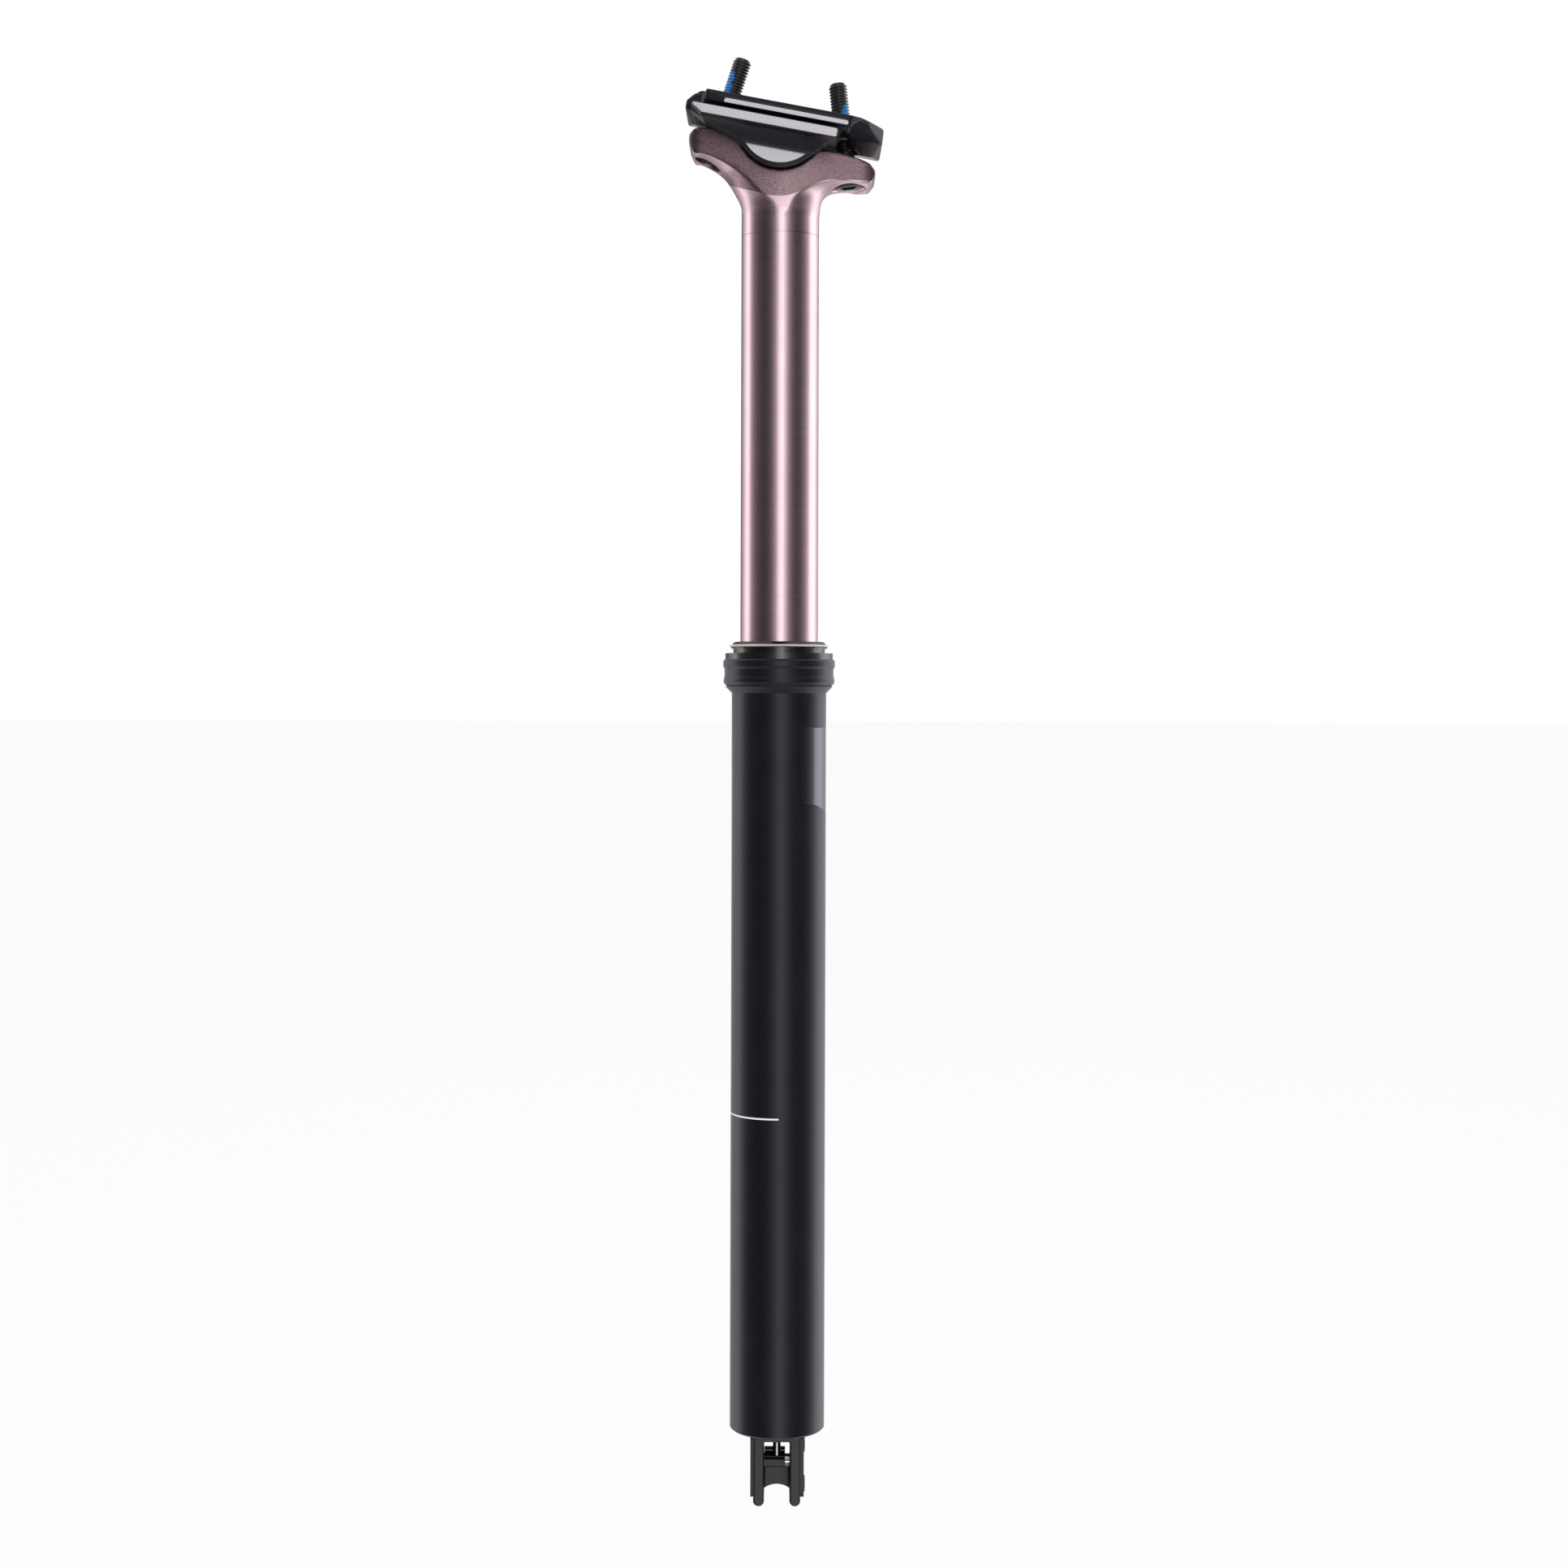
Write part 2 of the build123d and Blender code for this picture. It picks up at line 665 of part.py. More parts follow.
with BuildPart() as lower_cradle:
    for side in (1, -1):
        arm_plane = side_plane(0, rocker_height, head_tilt).offset(side * cradle_slot_half_width)
        with BuildSketch(arm_plane):
            with BuildLine():
                belly_start = (-belly_point[0], belly_point[1])
                Polyline((-cradle_front, -half_gap), *cradle_front_points, belly_start)
                ThreePointArc(belly_start, (0, -rocker_radius), belly_point)
                Polyline(belly_point, *cradle_rear_points, (cradle_rear, -half_gap),
                         (-cradle_front, -half_gap))
            make_face()
        extrude(amount=side * (cradle_half_width - cradle_slot_half_width))
    with BuildSketch(rail_plane()):
        with BuildLine():
            lip_bottom = -half_gap - cradle_flat_height
            floor_w = -rocker_radius - running_gap
            right_side = [(cradle_half_width, -half_gap), (cradle_half_width, lip_bottom), cove_points[0]]
            Polyline(*mirrored(right_side), *right_side)
            ThreePointArc(*cove_points)
            foot = [cove_points[2], (cove_points[2][0], floor_w)]
            Polyline(*foot, *mirrored(foot))
            ThreePointArc(*mirrored(cove_points))
        make_face()
    extrude(amount=overrun * 2, both=True, mode=Mode.INTERSECT)
    chord = sqrt(rocker_radius**2 - half_gap**2)
    with BuildSketch(side_plane(0, rocker_height, head_tilt)):
        with BuildLine():
            Line((-chord, -half_gap), (chord, -half_gap))
            ThreePointArc((chord, -half_gap), (0, -rocker_radius), (-chord, -half_gap))
        make_face()
    extrude(amount=cradle_slot_half_width, both=True)
    with BuildSketch(rail_plane()):
        with Locations((-rail_y, 0), (rail_y, 0)):
            Circle(rail_radius)
    extrude(amount=overrun * 2, both=True, mode=Mode.SUBTRACT)
    with BuildSketch(lean_plane(0, rocker_height, head_tilt, -half_gap)):
        Circle(cradle_pocket_radius)
    extrude(amount=-cradle_pocket_depth, mode=Mode.SUBTRACT)
lower_cradle.part.label = "lower_cradle"
export_step(lower_cradle.part, "parts/lower_cradle.step")

# Upper clamp: covers the rails and carries the two barrel nuts in its ears.
# Its end outlines are shares of each end's reach and of the peak's height above the lip.
clamp_front_shares = ((1.0, 0.0), (1.0, 0.4), (0.872, 0.96), (0.824, 1.0), (0.754, 0.75))
clamp_rear_shares = ((0.734, 0.75), (0.81, 0.93), (0.883, 0.87), (0.99, 0.7), (1.0, 0.0))
clamp_front_nose_shares = ((0.655, 1.0), (0.93, 1.0))
clamp_rear_nose_shares = ((0.93, 1.0), (0.725, 1.0))
clamp_front_points = [(-x * clamp_front, w * clamp_peak) for x, w in clamp_front_shares]
clamp_rear_points = [(x * clamp_rear, w * clamp_peak) for x, w in clamp_rear_shares]
clamp_front_nose = [(-x * clamp_front, -w * clamp_nose_drop) for x, w in clamp_front_nose_shares]
clamp_rear_nose = [(x * clamp_rear, -w * clamp_nose_drop) for x, w in clamp_rear_nose_shares]
clamp_side_top = half_gap + clamp_strip_height + clamp_margin
crown_shares = ((0.97, 0.86), (0.83, 1.0))
crown_points = [(y * clamp_half_width, w * clamp_crown) for y, w in crown_shares]
trough_radius = nut_diameter / 2 + running_gap
slope_top = sqrt(rail_radius**2 - clamp_slope_inset**2)


def clamp_local(x, z):
    """A point of the side view in the clamp's own axes: along the rails, and up from them."""
    tilt = radians(head_tilt)
    rise = z - rocker_height
    return (x * cos(tilt) - rise * sin(tilt), x * sin(tilt) + rise * cos(tilt))


nut_places = (clamp_local(front_nut_x, front_nut_z), clamp_local(rear_nut_x, rear_nut_z))
with BuildPart() as upper_clamp:
    with BuildSketch(side_plane(0, rocker_height, head_tilt)):
        with BuildLine():
            Polyline((-clamp_strip_front, half_gap), *clamp_front_nose, *clamp_front_points,
                     *clamp_rear_points, *clamp_rear_nose, (clamp_strip_rear, half_gap), close=True)
        make_face()
    extrude(amount=clamp_half_width, both=True)
    with BuildSketch(rail_plane()):
        with BuildLine():
            crown_side = [(clamp_half_width, -clamp_nose_drop - overrun), (clamp_half_width, clamp_side_top),
                          *crown_points, (clamp_nose_half_width, clamp_crown),
                          (clamp_nose_half_width, clamp_peak + overrun)]
            Polyline(*crown_side, *mirrored(crown_side), close=True)
        make_face()
    extrude(amount=overrun * 2, both=True, mode=Mode.INTERSECT)
    with BuildSketch(lean_plane(0, rocker_height, head_tilt)):
        with BuildLine():
            front_side = [(-clamp_front, clamp_ear_half_width),
                          (-clamp_strip_front - clamp_shoulder_reach, clamp_shoulder_half_width),
                          (-clamp_strip_front - clamp_wall_reach, clamp_wall_half_width),
                          (-clamp_strip_front, clamp_half_width)]
            rear_side = [(clamp_strip_rear, clamp_half_width),
                         (clamp_strip_rear + clamp_bend_reach, clamp_bend_half_width),
                         (clamp_rear, clamp_ear_half_width)]
            near_side = [(x, -y) for x, y in reversed(front_side + rear_side)]
            Polyline(*front_side, *rear_side, *near_side, close=True)
        make_face()
    extrude(amount=overrun, both=True, mode=Mode.INTERSECT)
    with BuildSketch(rail_plane()):
        with Locations((-rail_y, 0), (rail_y, 0)):
            Circle(rail_radius)
    extrude(amount=overrun * 2, both=True, mode=Mode.SUBTRACT)
    for side in (1, -1):
        with BuildSketch(side_plane(0, rocker_height, head_tilt).offset(side * clamp_nose_half_width)):
            with Locations((clamp_strip_rear - overrun * 2, half_gap - overrun)):
                Rectangle(overrun * 4, overrun * 2)
        extrude(amount=side * overrun, mode=Mode.SUBTRACT)
        with BuildSketch(rail_plane().offset(clamp_strip_rear)):
            with BuildLine():
                Polyline((side * clamp_nose_half_width, -clamp_nose_drop - overrun),
                         (side * clamp_nose_half_width, clamp_keel_rise - clamp_nose_drop),
                         (side * (rail_y - clamp_slope_inset), slope_top),
                         (side * rail_y, slope_top), (side * rail_y, half_gap),
                         (side * (clamp_half_width + overrun), half_gap),
                         (side * (clamp_half_width + overrun), -clamp_nose_drop - overrun), close=True)
            make_face()
        extrude(amount=overrun, mode=Mode.SUBTRACT)
    with BuildSketch(rail_plane()):
        with BuildLine():
            keel_low = -clamp_nose_drop - overrun
            Polyline((-clamp_nose_half_width, clamp_keel_rise - clamp_nose_drop), (0, -clamp_nose_drop),
                     (clamp_nose_half_width, clamp_keel_rise - clamp_nose_drop),
                     (clamp_nose_half_width, keel_low), (-clamp_nose_half_width, keel_low), close=True)
        make_face()
    extrude(amount=overrun * 2, both=True, mode=Mode.SUBTRACT)
    with BuildSketch(side_plane(0, rocker_height, head_tilt)):
        for along, above in nut_places:
            with Locations((along, above)):
                Circle(trough_radius)
            with Locations((along, above + overrun / 2)):
                Rectangle(trough_radius * 2, overrun)
    extrude(amount=nut_length / 2 + body_gap, both=True, mode=Mode.SUBTRACT)
    for place in (front_bolt_place, rear_bolt_place):
        with BuildSketch(lean_plane(*place)):
            Circle(bolt_slot_width / 2)
        extrude(amount=overrun, mode=Mode.SUBTRACT)
    with BuildSketch(lean_plane(0, rocker_height, head_tilt, clamp_crown - clamp_pocket_depth)):
        RectangleRounded(clamp_pocket_length, clamp_nose_half_width * 2, clamp_pocket_corner)
    extrude(amount=overrun, mode=Mode.SUBTRACT)
upper_clamp.part.label = "upper_clamp"
export_step(upper_clamp.part, "parts/upper_clamp.step")


def clamp_bolt(x, z, lean):
    """A low-head screw through a wing, with ring-shaped threads up to its tip."""
    head_top = -washer_thickness - washer_seat_gap - running_gap
    thread_start = bolt_reach - bolt_thread_length
    core = bolt_core / 2
    thread_end = bolt_reach - thread_pitch / 2
    threads = thread_rings(core, bolt_diameter / 2, thread_start, thread_end, thread_pitch)
    place = side_plane(x, z, lean)
    with BuildPart() as bolt:
        with BuildSketch(place):
            with BuildLine():
                Polyline(
                    (0, head_top - bolt_head_height),
                    (bolt_head_diameter / 2 - nut_edge, head_top - bolt_head_height),
                    (bolt_head_diameter / 2, head_top - bolt_head_height + nut_edge),
                    (bolt_head_diameter / 2, head_top), (bolt_diameter / 2, head_top),
                    (bolt_diameter / 2, thread_start), *threads, (threads[-1][0], bolt_reach),
                    (0, bolt_reach), close=True,
                )
            make_face()
        revolve(axis=lean_axis(x, z, lean))
        with BuildSketch(lean_plane(x, z, lean, head_top - bolt_head_height)):
            RegularPolygon(bolt_hex / 2, 6, major_radius=False)
        extrude(amount=bolt_hex_depth, mode=Mode.SUBTRACT)
    return bolt


def bolt_washer(x, z, lean):
    """The flat washer between a clamp screw's head and the floor of its recess."""
    with BuildPart() as washer:
        with BuildSketch(lean_plane(x, z, lean, -washer_seat_gap)):
            Circle(washer_diameter / 2)
            Circle(bolt_diameter / 2 + running_gap, mode=Mode.SUBTRACT)
        extrude(amount=-washer_thickness)
    return washer


def barrel_nut(x, z, lean):
    """A cross dowel that lies in an ear's trough, with its hole in line with the screw."""
    with BuildPart() as nut:
        with BuildSketch(side_plane(x, z, lean)):
            Circle(nut_diameter / 2)
        extrude(amount=nut_length / 2, both=True)
        chamfer(nut.edges().filter_by(GeomType.CIRCLE), length=nut_edge)
        with BuildSketch(lean_plane(x, z, lean)):
            Circle(nut_bore / 2)
        extrude(amount=nut_diameter, both=True, mode=Mode.SUBTRACT)
    return nut


front_bolt = clamp_bolt(*front_bolt_place)
front_bolt.part.label = "front_bolt"
export_step(front_bolt.part, "parts/front_bolt.step")

rear_bolt = clamp_bolt(*rear_bolt_place)
rear_bolt.part.label = "rear_bolt"
export_step(rear_bolt.part, "parts/rear_bolt.step")

front_washer = bolt_washer(*front_bolt_place)
front_washer.part.label = "front_washer"
export_step(front_washer.part, "parts/front_washer.step")

rear_washer = bolt_washer(*rear_bolt_place)
rear_washer.part.label = "rear_washer"
export_step(rear_washer.part, "parts/rear_washer.step")

front_nut = barrel_nut(front_nut_x, front_nut_z, front_lean)
front_nut.part.label = "front_nut"
export_step(front_nut.part, "parts/front_nut.step")

rear_nut = barrel_nut(rear_nut_x, rear_nut_z, rear_lean)
rear_nut.part.label = "rear_nut"
export_step(rear_nut.part, "parts/rear_nut.step")

# Actuator housing: a threaded neck, a roof, two cheeks and a web that stops the cable
pin_hole = pin_diameter / 2 + pin_play
roof_bottom = -tube_length - roof_thickness
cheek_bottom = housing_floor
foot_bottom = housing_floor - foot_drop
foot_middle = (foot_inner + housing_half_width) / 2
web_ceiling = -tube_length - web_top
web_floor = -tube_length - web_bottom
pivot_z = -tube_length - pivot_drop
barrel_z = -tube_length - barrel_drop
screw_heights = (-tube_length - plate_screw_upper, -tube_length - plate_screw_lower)
with BuildPart() as actuator_housing:
    with BuildSketch(Plane.XZ.offset(-housing_back)):
        with BuildLine():
            outer_side = [(housing_half_width, -tube_length), (housing_half_width, cheek_bottom)]
            foot_end = (cavity_half_width, cheek_bottom)
            Polyline(*mirrored(outer_side), *outer_side)
            ThreePointArc(outer_side[1], (foot_middle, foot_bottom), foot_end)
            inner_side = [foot_end, (cavity_half_width, roof_bottom)]
            Polyline(*inner_side, *mirrored(inner_side))
            ThreePointArc((-foot_end[0], foot_end[1]), (-foot_middle, foot_bottom),
                          (-outer_side[1][0], outer_side[1][1]))
        make_face()
    extrude(amount=housing_back + housing_front)
    with BuildSketch(Plane.XZ.offset(-housing_back)):
        with BuildLine():
            Polyline((-cavity_half_width, web_floor), (-cavity_half_width, web_ceiling),
                     (cavity_half_width, web_ceiling), (cavity_half_width, web_floor))
            ThreePointArc((cavity_half_width, web_floor), (0, web_floor + web_arch),
                          (-cavity_half_width, web_floor))
        make_face()
    extrude(amount=housing_back - web_front)
    with BuildSketch(Plane.XY.offset(-tube_length)):
        Circle(socket_radius - running_gap)
    extrude(amount=plug_socket_depth - running_gap)
    with BuildSketch(Plane.XY.offset(roof_bottom)):
        Circle(nipple_diameter / 2)
    extrude(amount=-nipple_height)
    with BuildSketch(Plane.XY.offset(roof_bottom - nipple_height)):
        Circle(pin_hole)
    extrude(amount=overrun, mode=Mode.SUBTRACT)
    with BuildSketch(Plane.YZ):
        with Locations((pivot_y, pivot_z)):
            Circle(pivot_diameter / 2)
    extrude(amount=overrun, both=True, mode=Mode.SUBTRACT)
    with BuildSketch(Plane.YZ.offset(housing_half_width)):
        with Locations(*[(plate_screw_y, height) for height in screw_heights]):
            Circle(plate_screw_shank / 2)
    extrude(amount=-plate_screw_depth, mode=Mode.SUBTRACT)
    with BuildSketch(Plane.XY.offset(web_ceiling)):
        with Locations((0, web_front + web_step_depth + overrun / 2)):
            Rectangle(cavity_half_width * 2, overrun)
    extrude(amount=-web_step, mode=Mode.SUBTRACT)
    with BuildSketch(Plane.XY.offset(web_floor - foot_drop)):
        with Locations((0, barrel_y)):
            Circle(stop_bore / 2)
    extrude(amount=foot_drop + stop_depth, mode=Mode.SUBTRACT)
    with BuildSketch(Plane.XY.offset(web_floor)):
        with Locations((0, barrel_y)):
            Circle(cable_bore / 2)
    extrude(amount=overrun / 2, mode=Mode.SUBTRACT)
actuator_housing.part.label = "actuator_housing"
export_step(actuator_housing.part, "parts/actuator_housing.step")

# Side plates, one on each cheek; two domed screws hold the right one
plate_top = -tube_length - plate_margin
plate_height = plate_top - cheek_bottom
plate_width = housing_front + housing_back - plate_margin * 2
plate_middle = (housing_back - housing_front) / 2


def side_plate(start, thickness, with_screws):
    """A rounded cover plate from this X outwards, holed for the pivot and its screws."""
    with BuildPart() as plate:
        with BuildSketch(Plane.YZ.offset(start)):
            with Locations((plate_middle, plate_top - plate_height / 2)):
                RectangleRounded(plate_width, plate_height, plate_corner)
            with Locations((pivot_y, pivot_z)):
                Circle(pivot_diameter / 2, mode=Mode.SUBTRACT)
            if with_screws:
                with Locations(*[(plate_screw_y, height) for height in screw_heights]):
                    Circle(plate_screw_shank / 2, mode=Mode.SUBTRACT)
        extrude(amount=thickness)
    return plate


left_side_plate = side_plate(-housing_half_width, -plate_left_thickness, False)
left_side_plate.part.label = "left_side_plate"
export_step(left_side_plate.part, "parts/left_side_plate.step")

right_side_plate = side_plate(housing_half_width, plate_right_thickness, True)
right_side_plate.part.label = "right_side_plate"
export_step(right_side_plate.part, "parts/right_side_plate.step")

plate_outside = housing_half_width + plate_right_thickness
with BuildPart() as plate_screws:
    with BuildSketch(Plane.YZ.offset(housing_half_width - plate_screw_depth)):
        with Locations(*[(plate_screw_y, height) for height in screw_heights]):
            Circle(plate_screw_shank / 2)
    extrude(amount=plate_screw_depth + plate_right_thickness)
    with BuildSketch(Plane.YZ.offset(plate_outside)):
        with Locations(*[(plate_screw_y, height) for height in screw_heights]):
            Circle(plate_screw_diameter / 2)
    extrude(amount=plate_screw_dome, taper=45)
plate_screws.part.label = "plate_screws"
export_step(plate_screws.part, "parts/plate_screws.step")

# Release lever: a nose under the pin, an eye for the cable's barrel, a bored pivot boss
lever_bottom_z = -tube_length - lever_top - lever_thickness
with BuildPart() as release_lever:
    with BuildSketch(Plane.YZ.offset(-lever_width / 2 - lever_offset)):
        with Locations(((barrel_y - lever_nose) / 2, lever_bottom_z + lever_thickness / 2)):
            Rectangle(barrel_y + lever_nose, lever_thickness)
        with Locations((0, lever_bottom_z + lever_thickness - lever_bump / 2)):
            Circle(lever_bump)
        with Locations((pivot_y, pivot_z)):
            Circle(pivot_boss / 2)
        with Locations((barrel_y, barrel_z)):
            Circle(barrel_eye / 2)
        with Locations((pivot_y, pivot_z)):
            Circle(pivot_diameter / 2 + running_gap, mode=Mode.SUBTRACT)
        with Locations((barrel_y, barrel_z)):
            Circle(barrel_diameter / 2 + running_gap, mode=Mode.SUBTRACT)
    extrude(amount=lever_width)
    with BuildSketch(Plane.XY.offset(barrel_z)):
        with Locations((0, barrel_y)):
            Rectangle(cable_bore, barrel_eye)
    extrude(amount=-barrel_eye, mode=Mode.SUBTRACT)
release_lever.part.label = "release_lever"
export_step(release_lever.part, "parts/release_lever.step")

with BuildPart() as cable_barrel:
    with BuildSketch(Plane.YZ):
        with Locations((barrel_y, barrel_z)):
            Circle(barrel_diameter / 2)
    extrude(amount=barrel_length / 2, both=True)
    with BuildSketch(Plane.XY.offset(barrel_z)):
        with Locations((0, barrel_y)):
            Circle(cable_bore / 2)
    extrude(amount=barrel_diameter, both=True, mode=Mode.SUBTRACT)
cable_barrel.part.label = "cable_barrel"
export_step(cable_barrel.part, "parts/cable_barrel.step")

with BuildPart() as lever_pivot_pin:
    with BuildSketch(Plane.YZ.offset(-housing_half_width - plate_left_thickness)):
        with Locations((pivot_y, pivot_z)):
            Circle(pivot_diameter / 2)
    extrude(amount=housing_half_width + plate_left_thickness + plate_outside)
lever_pivot_pin.part.label = "lever_pivot_pin"
export_step(lever_pivot_pin.part, "parts/lever_pivot_pin.step")

# Release pin: runs up the hollow rod to the valve in the piston
pin_bottom = -tube_length - pin_tip_drop
pin_top = piston_top - pin_headroom
pin_radius = pin_diameter / 2
release_pin = revolved([
    (0, pin_bottom), (pin_radius - pin_tip_edge, pin_bottom), (pin_radius, pin_bottom + pin_tip_edge),
    (pin_radius, pin_top), (0, pin_top),
])
release_pin.part.label = "release_pin"
export_step(release_pin.part, "parts/release_pin.step")
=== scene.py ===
"""The looks of a dropper seatpost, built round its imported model. Lengths are in metres."""
import logging
import math
from dataclasses import dataclass
from enum import Enum
from typing import Iterable, Sequence

import bmesh
import bpy
from mathutils import Matrix, Vector


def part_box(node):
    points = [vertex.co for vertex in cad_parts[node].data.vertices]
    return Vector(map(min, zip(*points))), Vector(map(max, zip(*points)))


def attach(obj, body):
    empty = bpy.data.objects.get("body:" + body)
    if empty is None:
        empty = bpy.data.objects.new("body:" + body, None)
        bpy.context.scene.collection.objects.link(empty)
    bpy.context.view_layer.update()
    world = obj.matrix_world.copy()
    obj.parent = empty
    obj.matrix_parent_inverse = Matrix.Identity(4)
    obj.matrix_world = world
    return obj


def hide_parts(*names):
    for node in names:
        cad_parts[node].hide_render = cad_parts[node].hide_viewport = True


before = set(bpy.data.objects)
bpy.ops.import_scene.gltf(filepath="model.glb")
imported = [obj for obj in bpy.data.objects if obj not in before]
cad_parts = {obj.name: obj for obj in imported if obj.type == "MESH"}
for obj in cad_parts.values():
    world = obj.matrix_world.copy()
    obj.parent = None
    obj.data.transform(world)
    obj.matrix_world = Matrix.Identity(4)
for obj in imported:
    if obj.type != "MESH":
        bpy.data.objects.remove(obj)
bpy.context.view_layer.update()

MM = 0.001
# Gaps within which corners merge or lie on a plane.
MERGE_GAP = 0.001 * MM
SPIN_GAP = 0.0005 * MM
THREAD_GAP = 0.003 * MM
PLANE_GAP = 0.0001 * MM
RIM_GAP = 0.002 * MM
# In degrees: faces closer than the first are one flat, and edges sharper than the others stay sharp.
FLAT_ANGLE = 0.2
HARD_EDGE_ANGLE = 30.0
THREAD_ANGLE = 40.0
SOFT_EDGE_ANGLE = 60.0
LOG = logging.getLogger("seatpost")
Socket = bpy.types.NodeSocket
Colour = tuple[float, float, float]
Pair = tuple[float, float]


class Body(str, Enum):
    """The moving bodies that new pieces ride on."""

    LOWER_POST = "lower_post"
    UPPER_POST = "upper_post"
    CLAMP = "saddle_clamp"
    FRONT_SCREW = "front_screw"
    REAR_SCREW = "rear_screw"


class MixKind(Enum):
    """What a mix node mixes: its type, then its two inputs and its output."""

    COLOUR = ("RGBA", 6, 7, 2)
    NUMBER = ("FLOAT", 2, 3, 0)


def tone(colour: Colour, amount: float) -> Colour:
    """A colour made darker or lighter by a factor."""
    return tuple(min(part * amount, 1.0) for part in colour)


class NodeWork:
    """A node tree under construction, with short calls for the nodes it uses."""

    def __init__(self, tree: bpy.types.NodeTree) -> None:
        """Starts an empty tree.

        Args:
            tree: the tree of a material or of the world; it is cleared.
        """
        self.tree = tree
        self.tree.nodes.clear()

    def node(self, kind: str, **settings: object) -> bpy.types.Node:
        """Adds a node and sets its properties.

        Args:
            kind: the node's type name.
            settings: its properties by name.

        Returns:
            The new node.
        """
        made = self.tree.nodes.new(kind)
        for key, value in settings.items():
            setattr(made, key, value)
        return made

    def feed(self, target: Socket, value: Socket | float | Colour) -> None:
        """Links a socket to another, or sets its value.

        Args:
            target: the input.
            value: an output socket, a number or a colour.
        """
        if isinstance(value, bpy.types.NodeSocket):
            self.tree.links.new(value, target)
        elif isinstance(value, tuple) and len(target.default_value) == 4:
            target.default_value = (*value, 1.0)
        else:
            target.default_value = value

    def math(self, operation: str, first: Socket | float, second: Socket | float = 0.0) -> Socket:
        """One math node.

        Args:
            operation: its operation.
            first: the first input.
            second: the second input.

        Returns:
            The result's socket.
        """
        made = self.node("ShaderNodeMath", operation=operation)
        self.feed(made.inputs[0], first)
        self.feed(made.inputs[1], second)
        return made.outputs[0]

    def ranged(self, value: Socket, near: float, far: float, start: float, end: float,
               kind: str = "LINEAR") -> Socket:
        """Maps a value from one range to another, and holds it at both ends.

        Args:
            value: the value.
            near: the smaller limit of the value.
            far: the larger limit of the value.
            start: the result at the smaller limit.
            end: the result at the larger limit.
            kind: the curve between them.

        Returns:
            The mapped socket.
        """
        made = self.node("ShaderNodeMapRange", interpolation_type=kind)
        self.feed(made.inputs["Value"], value)
        for name, limit in (("From Min", near), ("From Max", far), ("To Min", start), ("To Max", end)):
            made.inputs[name].default_value = limit
        return made.outputs["Result"]

    def bearing(self, across: Socket, away: Socket) -> Socket:
        """The angle about the upright axis: 0 at the camera's side and 90 at the rear.

        Args:
            across: the coordinate towards the rear.
            away: the coordinate away from the camera.

        Returns:
            The angle's socket, in degrees from -180 to 180.
        """
        turn = self.math("ARCTAN2", across, self.math("MULTIPLY", away, -1.0))
        return self.math("MULTIPLY", turn, 180.0 / math.pi)


